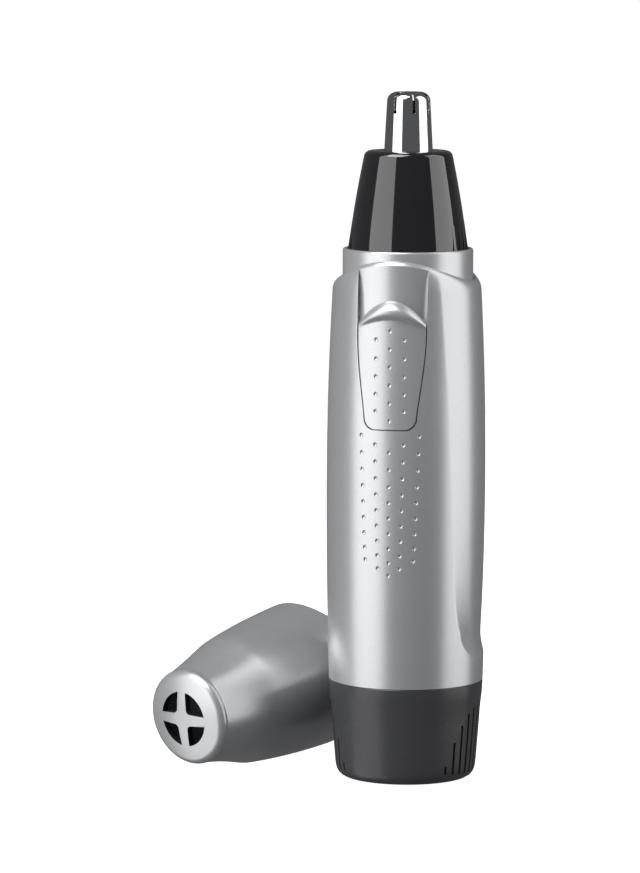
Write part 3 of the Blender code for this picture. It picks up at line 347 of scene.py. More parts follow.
def lathe(name, profile, segments=128, closed=False):
    """Extrude a circle ring by ring through (radius, height) points, in mm."""
    points = [(radius * MM, z * MM) for radius, z in profile]
    if closed:
        points.append(points[0])
    select_only()
    radius, z = points[0]
    fill = "NOTHING" if closed else "NGON"
    place = (0.0, 0.0, z)
    bpy.ops.mesh.primitive_circle_add(vertices=segments, radius=radius, location=place, fill_type=fill)
    piece = settle(named(name))
    edit(piece)
    if not closed:
        bpy.ops.mesh.inset(thickness=0.3 * radius)
        bpy.ops.mesh.select_all(action="DESELECT")
        leave()
        for vertex in piece.data.vertices:
            vertex.select = math.hypot(vertex.co.x, vertex.co.y) > 0.99 * radius
        bpy.ops.object.mode_set(mode="EDIT")
        bpy.ops.mesh.select_mode(type="VERT")
    for (old, foot), (new, top) in zip(points, points[1:]):
        bpy.ops.mesh.extrude_edges_move(TRANSFORM_OT_translate={"value": (0.0, 0.0, top - foot)})
        bpy.ops.transform.resize(value=(new / old, new / old, 1.0), center_override=(0.0, 0.0, 0.0))
    if not closed:
        bpy.ops.mesh.edge_face_add()
    bpy.ops.mesh.select_all(action="SELECT")
    bpy.ops.mesh.remove_doubles(threshold=0.000001)
    leave_outward()
    return piece


def wrapped_sheet(name, columns, rows, place):
    """A grid bent into shape: place turns arrays of column and row numbers into x, y and z."""
    select_only()
    bpy.ops.mesh.primitive_grid_add(x_subdivisions=columns, y_subdivisions=rows, size=2.0)
    piece = named(name)
    count = len(piece.data.vertices)
    flat = np.empty(count * 3)
    piece.data.vertices.foreach_get("co", flat)
    flat = flat.reshape(count, 3)
    across = np.rint((flat[:, 0] + 1.0) * 0.5 * columns).astype(int)
    along = np.rint((flat[:, 1] + 1.0) * 0.5 * rows).astype(int)
    x, y, z = place(across, along)
    piece.data.vertices.foreach_set("co", np.stack([x, y, z], axis=1).ravel())
    piece.data.update()
    edit(piece)
    bpy.ops.mesh.remove_doubles(threshold=0.000001)
    leave_outward()
    return piece


def slab(name, outline, push):
    """A flat outline of points pushed out into a solid."""
    select_only()
    bpy.ops.mesh.primitive_circle_add(vertices=len(outline), radius=1.0, fill_type="NGON")
    piece = named(name)
    for vertex, point in zip(piece.data.vertices, outline):
        vertex.co = point
    edit(piece)
    bpy.ops.mesh.extrude_region_move(TRANSFORM_OT_translate={"value": push})
    bpy.ops.mesh.select_all(action="SELECT")
    leave_outward()
    return piece


def brick(name, low, high):
    low, high = Vector(low), Vector(high)
    select_only()
    bpy.ops.mesh.primitive_cube_add(size=1.0, location=(low + high) / 2.0, scale=high - low)
    return settle(named(name))


def joined(pieces):
    select_only(pieces[0])
    for piece in pieces:
        piece.select_set(True)
    bpy.ops.object.join()
    return pieces[0]


def boolean(piece, tool, operation="DIFFERENCE"):
    """Apply an exact boolean and throw the tool away."""
    select_only(piece)
    bpy.ops.object.modifier_add(type="BOOLEAN")
    modifier = piece.modifiers[-1]
    modifier.operation = operation
    modifier.solver = "EXACT"
    modifier.object = tool
    bpy.ops.object.modifier_apply(modifier=modifier.name)
    mesh = tool.data
    bpy.data.objects.remove(tool)
    bpy.data.meshes.remove(mesh)
    return piece


def soften(piece, width, segments=2, angle=40.0):
    """Round the edges that are sharper than an angle."""
    select_only(piece)
    bpy.ops.object.modifier_add(type="BEVEL")
    modifier = piece.modifiers[-1]
    modifier.width = width
    modifier.segments = segments
    modifier.limit_method = "ANGLE"
    modifier.angle_limit = math.radians(angle)
    bpy.ops.object.modifier_apply(modifier=modifier.name)
    return piece


def finish_piece(piece, body, nodes, material, angle=28.0):
    select_only(piece)
    bpy.ops.object.shade_smooth_by_angle(angle=math.radians(angle))
    piece.data.materials.clear()
    piece.data.materials.append(material)
    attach(piece, body)
    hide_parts(*nodes)
    return piece


def ready_material(name, make, *values):
    """The material of that name, made on its first use."""
    return bpy.data.materials.get(name) or make(*values)


def silver(context):
    return ready_material("painted_silver", silver_paint, context.scene.trimmer_finishes.silver)


# Dark moulded plastic; on the cap's inside it also serves as painted shade.
def bare_plastic():
    return ready_material("bare_plastic", moulded, "bare_plastic", (0.02, 0.02, 0.022), 0.34)


# ---- the housing's form --------------------------------------------------------------------------
# (height in mm, turn from the front in degrees) along the edge of the hollow on each side
CREASE = [(24.0, 76.0), (25.0, 67.5), (26.8, 60.7), (28.7, 56.7), (31.0, 53.5), (33.5, 51.6), (36.0, 50.4),
          (55.0, 47.0), (74.5, 44.0), (88.0, 40.7), (103.0, 36.5)]


TO_CREASE, QUARTER = 30, 64      # mesh columns from the front to the crease, and to the side
HOUSING_COLUMNS = 4 * QUARTER


def round_radius(sizes, z):
    """Radius of the housing without its hollows."""
    low = sizes.belly_radius - (sizes.belly_radius - sizes.foot_radius) * (
        (sizes.belly - z) / (sizes.belly - sizes.foot)) ** 2
    high = sizes.belly_radius - (sizes.belly_radius - sizes.shoulder_radius) * (
        (z - sizes.belly) / (sizes.shoulder - sizes.belly)) ** 2
    return np.where(z < sizes.belly, low, high)


def crease_line():
    """Degrees from the side's middle, and heights, along the edge of the hollow, rounded at its foot."""
    heights = np.array([z for z, _ in CREASE]) * MM
    reach = 90.0 - np.array([turn for _, turn in CREASE])
    foot, round_top = 23.55 * MM, 29.0 * MM
    fine = np.concatenate([np.linspace(23.55, 36.0, 70), np.linspace(36.5, 103.0, 60)]) * MM
    drop = np.clip((round_top - fine) / (round_top - foot), 0.0, 1.0)
    rounded = np.interp(round_top, heights, reach) * np.sqrt(1.0 - drop ** 2)
    return np.where(fine < round_top, rounded, np.interp(fine, heights, reach)), fine


def scoop_depth(sizes, turn, z):
    """Depth of the hollow along each side, for arrays of turns from the front and heights."""
    spread, heights = crease_line()
    radius = sizes.belly_radius
    aside = np.abs(np.abs(turn) - 0.5 * math.pi) * radius
    line_s = np.radians(spread) * radius
    away = np.full(turn.shape, 1.0)
    for s0, z0, s1, z1 in zip(line_s, heights, line_s[1:], heights[1:]):
        ds, dz = s1 - s0, z1 - z0
        share = np.clip(((aside - s0) * ds + (z - z0) * dz) / (ds * ds + dz * dz), 0.0, 1.0)
        away = np.minimum(away, np.hypot(aside - s0 - share * ds, z - z0 - share * dz))
    inside = (aside < np.interp(z, heights, line_s)) & (z > heights[0])
    ramp = np.clip(away / sizes.scoop_bank, 0.0, 1.0)
    ramp = np.where(inside, 1.0 - (1.0 - ramp) ** 2.0, 0.0)
    pool = np.exp(-np.clip(z - 29.5 * MM, 0.0, None) / (15.0 * MM))
    return (sizes.scoop_depth + sizes.scoop_pool * pool) * ramp


def crease_turn(z):
    """Angle from the front that one column of the housing's mesh follows."""
    heights = np.array([h for h, _ in CREASE]) * MM
    turns = np.array([turn for _, turn in CREASE])
    return np.radians(np.interp(np.maximum(z, 28.0 * MM), heights, turns))


def wave(sizes, turn):
    return sizes.shoulder_rise * np.cos(turn) ** 2


def housing_radius(sizes, turn, z):
    return round_radius(sizes, np.minimum(z, sizes.shoulder)) - scoop_depth(sizes, turn, z)


def housing_turns(column, z):
    """Turn of each mesh column; one column of every quarter follows the crease."""
    sector = column % HOUSING_COLUMNS // QUARTER
    step = column % QUARTER
    step = np.where(sector % 2 == 1, QUARTER - step, step)
    crease = crease_turn(z)
    near = crease * step / TO_CREASE
    far = crease + (0.5 * math.pi - crease) * (step - TO_CREASE) / (QUARTER - TO_CREASE)
    local = np.where(step <= TO_CREASE, near, far)
    return np.choose(sector, (local, math.pi - local, math.pi + local, 2.0 * math.pi - local))


def model_housing(sizes, name):
    """Closed shell: outer wall up, rounded shoulder, bore down and back to the foot."""
    foot = sizes.foot + 0.05 * MM
    straight = sizes.shoulder - sizes.rounding
    heights = np.concatenate([
        np.linspace(foot, 22.5 * MM, 8)[:-1], np.linspace(22.5, 30.5, 33)[:-1] * MM,
        np.linspace(30.5 * MM, straight, 120)])
    around = [0.5 * math.pi * i / 9 for i in range(1, 10)]
    bore_heights = [0.0, 0.02, 0.35, 0.65, 1.0]
    rows = len(heights) + len(around) + len(bore_heights)

    def place(across, along):
        along = along % rows
        z = np.zeros(len(across))
        radius = np.zeros(len(across))
        outer = along < len(heights)
        z[outer] = heights[along[outer]]
        turn = housing_turns(across, np.where(outer, z, 1.0))
        radius[outer] = housing_radius(sizes, turn[outer], z[outer])
        for number, bend in enumerate(around):
            ring = along == len(heights) + number
            z[ring] = straight + math.sin(bend) * (sizes.rounding + wave(sizes, turn[ring]))
            edge = housing_radius(sizes, turn[ring], z[ring])
            radius[ring] = edge - (1.0 - math.cos(bend)) * (edge - sizes.bore - 0.1 * MM)
        top = straight + sizes.rounding + wave(sizes, turn)
        for number, share in enumerate(bore_heights):
            ring = along == len(heights) + len(around) + number
            z[ring] = top[ring] + (foot - top[ring]) * share
            radius[ring] = sizes.bore
        return radius * np.sin(turn), -radius * np.cos(turn), z

    return wrapped_sheet(name, HOUSING_COLUMNS, rows, place)


def track_outline(sizes, top):
    """(x, z) points round the switch track, up to a level."""
    right = []
    for i in range(13):
        turn = 0.5 * math.pi * i / 12
        x = sizes.foot_half_width - sizes.corner + sizes.corner * math.sin(turn)
        right.append((x, sizes.foot + sizes.corner - sizes.corner * math.cos(turn)))
    for i in range(1, 13):
        z = sizes.foot + sizes.corner + (sizes.taper - sizes.foot - sizes.corner) * i / 12
        right.append((track_half_width(sizes, z), z))
    right.append((sizes.half_width, top))
    return right + [(-x, z) for x, z in reversed(right)]


def track_half_width(sizes, z):
    """Half width of the track above its lower corners; the sides bow out a little."""
    share = (z - sizes.foot - sizes.corner) / (sizes.taper - sizes.foot - sizes.corner)
    bow = math.sin(0.5 * math.pi * min(1.0, max(0.0, share)) ** 1.15)
    return sizes.foot_half_width + (sizes.half_width - sizes.foot_half_width) * bow


# (turn in degrees at the top and at the foot of a row, heights in mm)
HOUSING_DIMPLES = (
    (0.0, 0.0, (64.62, 61.37, 58.12, 55.06, 52.07, 49.11, 46.25, 43.54, 41.1)),
    (10.3, 7.8, (66.12, 62.87, 59.67, 56.57, 53.55, 50.6, 47.7, 44.88, 42.4)),
    (21.4, 17.6, (67.78, 64.48, 61.3, 58.17, 55.1, 52.07, 49.15, 46.32, 43.95)),
)
# (distance from the middle in mm, heights in mm)
SLIDER_DIMPLES = (
    (0.0, (87.73, 84.31, 80.89, 77.46, 74.02, 70.68)),
    (2.75, (86.1, 82.5, 79.1, 75.75, 72.5)),
)


def dimple_tool(spots, size):
    """One tool of small balls that bite into a surface at each (turn, radius, height), on both sides."""
    balls = []
    for turn, radius, z in spots:
        reach = radius + 0.42 * size
        for side in ((1.0, -1.0) if turn else (1.0,)):
            spot = (side * reach * math.sin(turn), -reach * math.cos(turn), z)
            select_only()
            bpy.ops.mesh.primitive_uv_sphere_add(segments=18, ring_count=10, radius=size, location=spot)
            balls.append(settle(named("dimple")))
    return joined(balls)


def housing_spots(sizes):
    spots = []
    for first, last, levels in HOUSING_DIMPLES:
        for number, level in enumerate(levels):
            turn = math.radians(first + (last - first) * number / (len(levels) - 1))
            radius = housing_radius(sizes, np.array([turn]), np.array([level * MM]))
            spots.append((turn, float(radius[0]), level * MM))
    return spots


class TRIMMER_OT_housing(bpy.types.Operator):
    """Shape the housing: hollowed sides, waved shoulder, switch track and grip dimples"""
    bl_idname = "trimmer.housing"
    bl_label = "Housing"

    def execute(self, context):
        sizes = context.scene.trimmer_housing
        track = context.scene.trimmer_switch
        piece = model_housing(sizes, "housing_shell")
        outline = [(x, -20.0 * MM, z) for x, z in track_outline(track, 112.0 * MM)]
        tool = slab("track_tool", outline, (0.0, 14.0 * MM, 0.0))
        floor = track.floor_radius / MM
        boolean(tool, lathe("track_core", [(floor, 40.0), (floor, 130.0)], 256))
        boolean(piece, tool)
        boolean(piece, dimple_tool(housing_spots(sizes), sizes.dimple))
        slot = brick("stem_slot", (-1.7 * MM, -16.0 * MM, 77.0 * MM), (1.7 * MM, -10.0 * MM, 87.1 * MM))
        boolean(piece, slot)
        finish_piece(piece, "body", ["housing"], silver(context))
        return {"FINISHED"}


class TRIMMER_OT_collar(bpy.types.Operator):
    """Turn the silver collar that holds the head"""
    bl_idname = "trimmer.collar"
    bl_label = "Collar"

    def execute(self, context):
        sizes = context.scene.trimmer_head
        outer, inner, top = sizes.collar_radius / MM, sizes.socket_radius / MM, sizes.collar_top / MM
        floor, boss = top - 5.6, top - 1.6
        profile = [
            (outer, top - 13.2), (outer, top - 0.42), (outer - 0.05, top - 0.22), (outer - 0.17, top - 0.07),
            (outer - 0.36, top), (inner + 0.3, top), (inner + 0.09, top - 0.08), (inner, top - 0.3),
            (inner, floor), (8.3, floor), (8.3, boss), (2.8, boss), (2.8, floor - 4.2),
            (outer - 0.8, floor - 4.2), (outer - 0.8, top - 13.2),
        ]
        piece = lathe("collar_ring", profile, 160, closed=True)
        notch = brick("switch_notch", (-7.6 * MM, -20.0 * MM, (top - 14.2) * MM),
                      (7.6 * MM, -10.8 * MM, (top - 4.0) * MM))
        boolean(piece, notch)
        for side, angle in (("front", -90.0), ("back", 90.0)):
            lug = brick("collar_lug_" + side, (7.9 * MM, -1.2 * MM, (floor + 2.6) * MM),
                        (9.3 * MM, 1.2 * MM, (floor + 3.6) * MM))
            lug.rotation_euler.z = math.radians(angle)
            boolean(piece, settle(lug), "UNION")
        finish_piece(piece, "body", ["neck_collar"], silver(context))
        return {"FINISHED"}


def slider_half_width(sizes, z):
    """Half width of the slider at a level, with rounded lower corners."""
    gap = sizes.clearance
    foot, corner = sizes.foot + gap, sizes.corner
    if z < foot + corner:
        rise = max(0.0, (z - foot) / corner)
        return sizes.foot_half_width - gap - corner + corner * math.sqrt(max(0.0, 1.0 - (1.0 - rise) ** 2))
    return track_half_width(sizes, z) - gap


ARCH = 96.3       # how fast the slider's arched top drops to its sides, per metre


def ridge_height(sizes, x, z):
    """Rise to the thumb ridge's crest and fall behind it, both as shares."""
    crest = 91.25 * MM - 59.0 * x * x
    lip = 89.75 * MM - 40.0 * x * x
    top = sizes.top - ARCH * x * x
    fade = np.clip(1.0 - (np.abs(x) / (sizes.half_width * 1.02)) ** 2.6, 0.0, 1.0)
    rise = np.clip((z - lip) / np.maximum(crest - lip, 1e-5), 0.0, 1.0)
    under = np.sin(0.5 * math.pi * rise) ** 1.2
    fall = np.clip((z - crest) / np.maximum(top - crest, 1e-5), 0.0, 1.0)
    return under * fade, fall * fall


class TRIMMER_OT_switch(bpy.types.Operator):
    """Shape the sliding thumb switch with its arched ridge and dimples"""
    bl_idname = "trimmer.switch"
    bl_label = "Switch slider"

    def execute(self, context):
        sizes = context.scene.trimmer_switch
        form = context.scene.trimmer_housing
        columns, corner_rows, rows = 64, 14, 128
        foot = sizes.foot + sizes.clearance
        under = sizes.floor_radius + 0.3 * MM

        def place(across, along):
            z = np.zeros(len(across))
            share_x = across / columns * 2.0 - 1.0
            corner = along <= corner_rows
            turn = 0.5 * math.pi * along / corner_rows
            z[corner] = foot + sizes.corner * (1.0 - np.cos(turn[corner]))
            share = (along - corner_rows) / (rows - corner_rows)
            base = foot + sizes.corner
            top = sizes.top - ARCH * (share_x * sizes.half_width) ** 2
            z[~corner] = (base + (top - base) * share)[~corner]
            half = np.array([slider_half_width(sizes, value) for value in z])
            x = share_x * half
            rise, fall = ridge_height(sizes, x, z)
            radius = round_radius(form, z) + sizes.ridge * rise
            low = under + 0.15 * MM
            radius = radius + (low - radius) * fall
            angle = np.arcsin(x / radius)
            return x, -radius * np.cos(angle), z

        piece = wrapped_sheet("switch_slider_shell", columns, rows, place)
        edit(piece)
        bpy.ops.mesh.extrude_region_move(TRANSFORM_OT_translate={"value": (0.0, 0.0, 0.0)})
        leave()
        for vertex in piece.data.vertices:
            if vertex.select:
                vertex.co.y = -math.sqrt(under ** 2 - vertex.co.x ** 2)
        edit(piece)
        leave_outward()
        spots = []
        for x, levels in SLIDER_DIMPLES:
            for level in levels:
                radius = float(round_radius(form, level * MM))
                spots.append((math.asin(x * MM / radius), radius, level * MM))
        soften(piece, 0.16 * MM, 2, 50.0)
        boolean(piece, dimple_tool(spots, form.dimple))
        stem = brick("stem", (-1.4 * MM, -13.95 * MM, 77.3 * MM), (1.4 * MM, -10.15 * MM, 81.3 * MM))
        boolean(piece, stem, "UNION")
        finish_piece(piece, "switch", ["switch_slider"], silver(context))
        return {"FINISHED"}


def cone_radius(sizes, z):
    share = max(0.0, (z - sizes.collar_top) / (sizes.cone_top - sizes.collar_top))
    return sizes.cone_foot_radius - (sizes.cone_foot_radius - sizes.cone_top_radius) * share ** 1.3


class TRIMMER_OT_head(bpy.types.Operator):
    """Turn the glossy cone and the slotted chrome tip of the head"""
    bl_idname = "trimmer.head"
    bl_label = "Head cover and tip"

    def execute(self, context):
        sizes = context.scene.trimmer_head
        self.cone(sizes, ready_material("polished_black", gloss_black, context.scene.trimmer_finishes.cone))
        self.tip(sizes, ready_material("chrome_tip", chrome))
        return {"FINISHED"}

    def cone(self, sizes, black):
        foot, top = sizes.collar_top / MM, sizes.cone_top / MM
        heights = [foot + (top - 1.1 - foot) * i / 18 for i in range(19)]
        profile = [(11.0, foot - 4.0), (sizes.cone_foot_radius / MM, foot - 3.7)]
        profile += [(cone_radius(sizes, z * MM) / MM, z) for z in heights]
        edge = profile[-1][0]
        for i in range(1, 9):
            turn = 0.5 * math.pi * i / 8
            inwards = 1.15 * (1.0 - math.cos(turn)) + 0.12 * turn
            profile.append((edge - inwards, top - 1.1 + 1.1 * math.sin(turn)))
        hole = sizes.tip_foot_radius / MM + 0.12
        profile += [(hole + 0.25, top), (hole, top - 0.2), (hole, top - 1.9), (7.2, top - 1.9),
                    (8.6, foot + 4.8), (8.6, foot - 4.0)]
        piece = lathe("head_cone", profile, 160, closed=True)
        for side in (1.0, -1.0):
            for number in range(6):
                turn = math.radians(-25.0 + 10.0 * number)
                high = foot + 3.9 + 1.6 * math.cos(2.4 * turn)
                radius = 0.5 * (cone_radius(sizes, foot * MM) + cone_radius(sizes, high * MM)) - 0.12 * MM
                rib = brick("grip_rib", (-0.4 * MM, -0.32 * MM, (foot - 0.6) * MM),
                            (0.42 * MM, 0.32 * MM, high * MM))
                self.lean(rib, sizes, high, foot)
                boolean(piece, turned_to_side(rib, side, radius, turn), "UNION")
        finish_piece(piece, "head", ["head_cover"], black)

    def lean(self, rib, sizes, high, foot):
        """Let a rib follow the cone's slope and run out into it."""
        drop = cone_radius(sizes, foot * MM) - cone_radius(sizes, high * MM)
        for vertex in rib.data.vertices:
            if vertex.co.z > foot * MM:
                vertex.co.x -= 0.5 * drop + (0.28 * MM if vertex.co.x > 0.0 else 0.0)
            else:
                vertex.co.x += 0.5 * drop

    def tip(self, sizes, bright):
        top, radius, foot_radius = sizes.tip_top / MM, sizes.tip_radius / MM, sizes.tip_foot_radius / MM
        cone = sizes.cone_top / MM
        wall = 0.5
        outer = [(foot_radius, cone + 0.2), (radius + 0.12, top - 3.9), (radius, top - 1.75)]
        rounding = []
        for i in range(1, 12):
            turn = 0.5 * math.pi * i / 12
            rounding.append((radius - 1.95 * (1.0 - math.cos(turn)), top - 1.75 + 1.75 * math.sin(turn)))
        inner = [(r - wall, z - 0.12 - 0.38 * (z - top + 1.75) / 1.75) for r, z in reversed(rounding)]
        profile = [(foot_radius, cone - 8.0), (foot_radius, cone - 3.0), (6.4, cone - 3.0), (6.4, cone - 2.2),
                   (foot_radius, cone - 2.2)] + outer + rounding
        profile += [(0.9, top), (0.6, top - 0.05), (0.6, top - wall)] + inner
        profile += [(radius - wall, top - 1.8), (foot_radius - wall, cone - 2.2),
                    (foot_radius - wall, cone - 8.0)]
        piece = lathe("shear_tip", profile, 140, closed=True)
        half, foot = 0.26 * MM, (top - 3.75) * MM
        for number in range(sizes.slots):
            slot = brick("hair_slot", (1.5 * MM, -half, foot), (6.0 * MM, half, (top + 1.0) * MM))
            select_only()
            bpy.ops.mesh.primitive_cylinder_add(vertices=24, radius=0.36 * MM, depth=4.0 * MM,
                                                location=(4.2 * MM, 0.0, foot),
                                                rotation=(0.0, 0.5 * math.pi, 0.0))
            boolean(slot, settle(named("slot_eye")), "UNION")
            slot.rotation_euler.z = 2.0 * math.pi * number / sizes.slots + math.radians(-63.0)
            boolean(piece, settle(slot))
        soften(piece, 0.05 * MM, 1, 60.0)
        finish_piece(piece, "head", ["shear_tube"], bright, 32.0)


class TRIMMER_OT_base(bpy.types.Operator):
    """Turn the dark base cover and cut its grip grooves"""
    bl_idname = "trimmer.base"
    bl_label = "Base cover"

    def execute(self, context):
        sizes = context.scene.trimmer_base
        form = context.scene.trimmer_housing
        top = form.foot / MM - 0.05
        flat, wide, joint = sizes.flat_radius / MM, sizes.foot_radius / MM, form.foot_radius / MM
        outer = [
            (flat, 0.0), (flat + 0.65, 0.1), (flat + 1.2, 0.42), (wide - 0.38, 0.95), (wide - 0.14, 1.6),
            (wide, 2.4), (wide + 0.1, 3.4), (wide + 0.23, 5.0), (wide + 0.35, 6.5), (wide + 0.51, 8.5),
            (wide + 0.67, 10.5), (wide + 0.88, 13.6), (joint - 0.17, 16.0), (joint - 0.05, 17.6),
            (joint, top - 0.12), (joint - 0.08, top),
        ]
        neck = [
            (12.5, top), (12.5, 19.6), (11.8, 19.6), (11.8, 20.8), (12.5, 20.8), (12.5, 24.7), (12.2, 25.0),
            (11.2, 25.0), (11.2, 15.0), (12.0, 12.2), (12.0, 1.9),
        ]
        profile = [(9.4, 0.35), (9.7, 0.0)] + outer + neck
        piece = lathe("base_cup", profile, 160)
        tools = []
        reach = sizes.foot_radius - 0.05 * MM
        for side in (1.0, -1.0):
            for number in range(12):
                outwards = abs(number - 5.5)
                turn = math.radians(7.75 * (number - 5.5))
                arch = (14.6 - 11.2 * (outwards / 5.5) ** 2.6) * MM
                low = (1.15 + 0.12 * outwards) * MM
                half = 0.5 * sizes.groove
                tool = brick("groove", (-0.38 * MM, -half, low), (2.0 * MM, half, arch))
                for vertex in tool.data.vertices:
                    if vertex.co.x < 0.0:
                        vertex.co.x += 0.052 * (vertex.co.z - low)
                tools.append(turned_to_side(tool, side, reach, turn))
        boolean(piece, joined(tools))
        dark = ready_material("satin_dark", satin_dark, context.scene.trimmer_finishes.base)
        finish_piece(piece, "base", ["base_cover"], dark)
        return {"FINISHED"}


CAP_HEADING, CAP_LEAN = math.radians(206.5), math.radians(7.0)
CAP_MOUTH = (-23.9 * MM, 22.3 * MM)      # where the middle of the lying cap's mouth is


def lay_down(cap):
    """Lay the cap on its side, nose forwards and a little down, touching the floor."""
    turn = Matrix.Rotation(-CAP_HEADING, 4, "Z")
    cap.data.transform(turn @ Matrix.Rotation(-0.5 * math.pi - CAP_LEAN, 4, "X"))
    lowest = min(vertex.co.z for vertex in cap.data.vertices)
    cap.data.transform(Matrix.Translation(CAP_MOUTH + (-lowest,)))


class TRIMMER_OT_cap(bpy.types.Operator):
    """Shape the protective cap with its waved mouth and four air vents, and lay it down"""
    bl_idname = "trimmer.cap"
    bl_label = "Protective cap"

    def execute(self, context):
        sizes = context.scene.trimmer_cap
        rise = context.scene.trimmer_housing.shoulder_rise
        kinked, levels = self.section(sizes, 1.0)
        plain, _ = self.section(sizes, 0.0)
        mouth = np.exp(-np.clip(levels, 0.0, None) / (3.5 * MM))
        rows, columns = len(levels), 192

        def place(across, along):
            along = along % rows
            turn = 2.0 * math.pi * across / columns
            share = np.cos(turn) ** 2
            radius = plain[along] + (kinked[along] - plain[along]) * share
            lift = rise * share * mouth[along]
            return radius * np.sin(turn), -radius * np.cos(turn), levels[along] + lift

        piece = wrapped_sheet("cap_shell", columns, rows, place)
        self.close_middle(piece)
        for number in range(4):
            boolean(piece, self.vent(sizes, number))
        # Faces inside the cap and in the vents get the dark bare plastic, which is also painted shade where
        # light would reach in through the mouth.
        bare_shaded_faces = [self.is_bare_shaded_inside(sizes, face) for face in piece.data.polygons]
        lay_down(piece)
        finish_piece(piece, "cap", ["protective_cap"], silver(context), 24.0)
        piece.data.materials.append(bare_plastic())
        for face, dark in zip(piece.data.polygons, bare_shaded_faces):
            face.material_index = int(dark)
        return {"FINISHED"}

    def section(self, sizes, kink):
        """Radii and distances round the wall: up the outside, through the dome, down the inside."""
        outside = self.profile(sizes, 0.0, kink)
        inside = self.profile(sizes, sizes.wall, kink)[::-1]
        line = outside + [(2.0 * MM, outside[-1][1]), (2.0 * MM, inside[0][1])] + inside
        return np.array([r for r, _ in line]), np.array([z for _, z in line])

    def profile(self, sizes, inward, kink):
        """(radius, distance) points from the mouth to near the middle: a smooth taper, or a kinked one."""
        points = []
        soft, round_off = 0.12 * MM, 1.9 * MM
        neck_radius = sizes.edge_radius - 0.04 * MM
        end = sizes.edge - 1.55 * MM
        for i in range(65):
            along = end * i / 64
            taper = sizes.mouth_radius - (sizes.mouth_radius - neck_radius) * (along / end) ** 2.1
            share = (along - sizes.kink) / (end - sizes.kink)
            upper = sizes.kink_radius - (sizes.kink_radius - neck_radius) * share
            upper -= 0.30 * MM * math.sin(math.pi * min(1.0, max(0.0, share)))
            lower = sizes.mouth_radius
            lower -= (sizes.mouth_radius - sizes.kink_radius) * (along / sizes.kink) ** 1.9
            bent = 0.5 * (upper + lower - math.sqrt((upper - lower) ** 2 + soft ** 2))
            points.append((taper + (bent - taper) * kink - inward, along - 0.5 * inward * along / end))
        for i in range(25):
            turn = math.radians(-12.0 + 90.0 * i / 24)
            points.append((sizes.edge_radius - inward - round_off + round_off * math.cos(turn),
                           sizes.edge - 1.2 * MM + round_off * math.sin(turn) * 0.85 - inward))
        last, height = points[-1]
        top = sizes.edge + sizes.dome - 0.1 * MM - inward
        for i in range(1, 16):
            radius = last + (2.0 * MM - last) * i / 15
            points.append((radius, top - (top - height) * (radius / last) ** 2.0))
        return points

    def is_bare_shaded_inside(self, sizes, face):
        """The paint stops at the rim: the inside and the vents' sides are bare dark plastic, which also
        serves as painted shade inside the cap.
        """
        middle = face.center
        inner = sizes.mouth_radius - 0.75 * sizes.wall - (sizes.mouth_radius - sizes.kink_radius) * (
            max(0.0, middle.z) / sizes.kink) ** 1.9
        if middle.z > sizes.kink:
            inner = sizes.edge_radius - 0.7 * sizes.wall + (sizes.edge - middle.z) * 0.2
        reach = math.hypot(middle.x, middle.y)
        below = middle.z < sizes.edge + 0.35 * sizes.dome - 1.1 * MM
        in_vent = reach < sizes.vent_radius + 0.3 * MM and abs(face.normal.z) < 0.5
        return in_vent or (below and reach < inner and face.normal.z < 0.9)

    def close_middle(self, piece):
        """The sheet leaves a small tube through the middle of the dome: plug it."""
        mesh = bmesh.new()
        mesh.from_mesh(piece.data)
        tube = [face for face in mesh.faces
                if all(math.hypot(corner.co.x, corner.co.y) < 2.01 * MM for corner in face.verts)]
        bmesh.ops.delete(mesh, geom=tube, context="FACES")
        edges = [edge for edge in mesh.edges if edge.is_boundary]
        bmesh.ops.holes_fill(mesh, edges=edges)
        bmesh.ops.recalc_face_normals(mesh, faces=mesh.faces)
        mesh.to_mesh(piece.data)
        mesh.free()

    def vent(self, sizes, number):
        """A petal with a rounded inner corner, pushed through the dome."""
        bar, radius, corner = 0.5 * sizes.vent_bar, sizes.vent_radius, 1.35 * MM
        first = math.asin(bar / radius) + 0.03
        points = []
        for i in range(25):
            angle = first + (0.5 * math.pi - 2.0 * first) * i / 24
            points.append((radius * math.cos(angle), radius * math.sin(angle), 30.0 * MM))
        for i in range(7):
            angle = math.radians(15.0 + 10.0 * i)
            points.append((bar + corner - 0.75 * corner * math.cos(angle),
                           bar + corner - 0.75 * corner * math.sin(angle), 30.0 * MM))
        spin = Matrix.Rotation(0.5 * math.pi * number, 3, "Z")
        return slab("vent", [spin @ Vector(point) for point in points], (0.0, 0.0, 14.0 * MM))


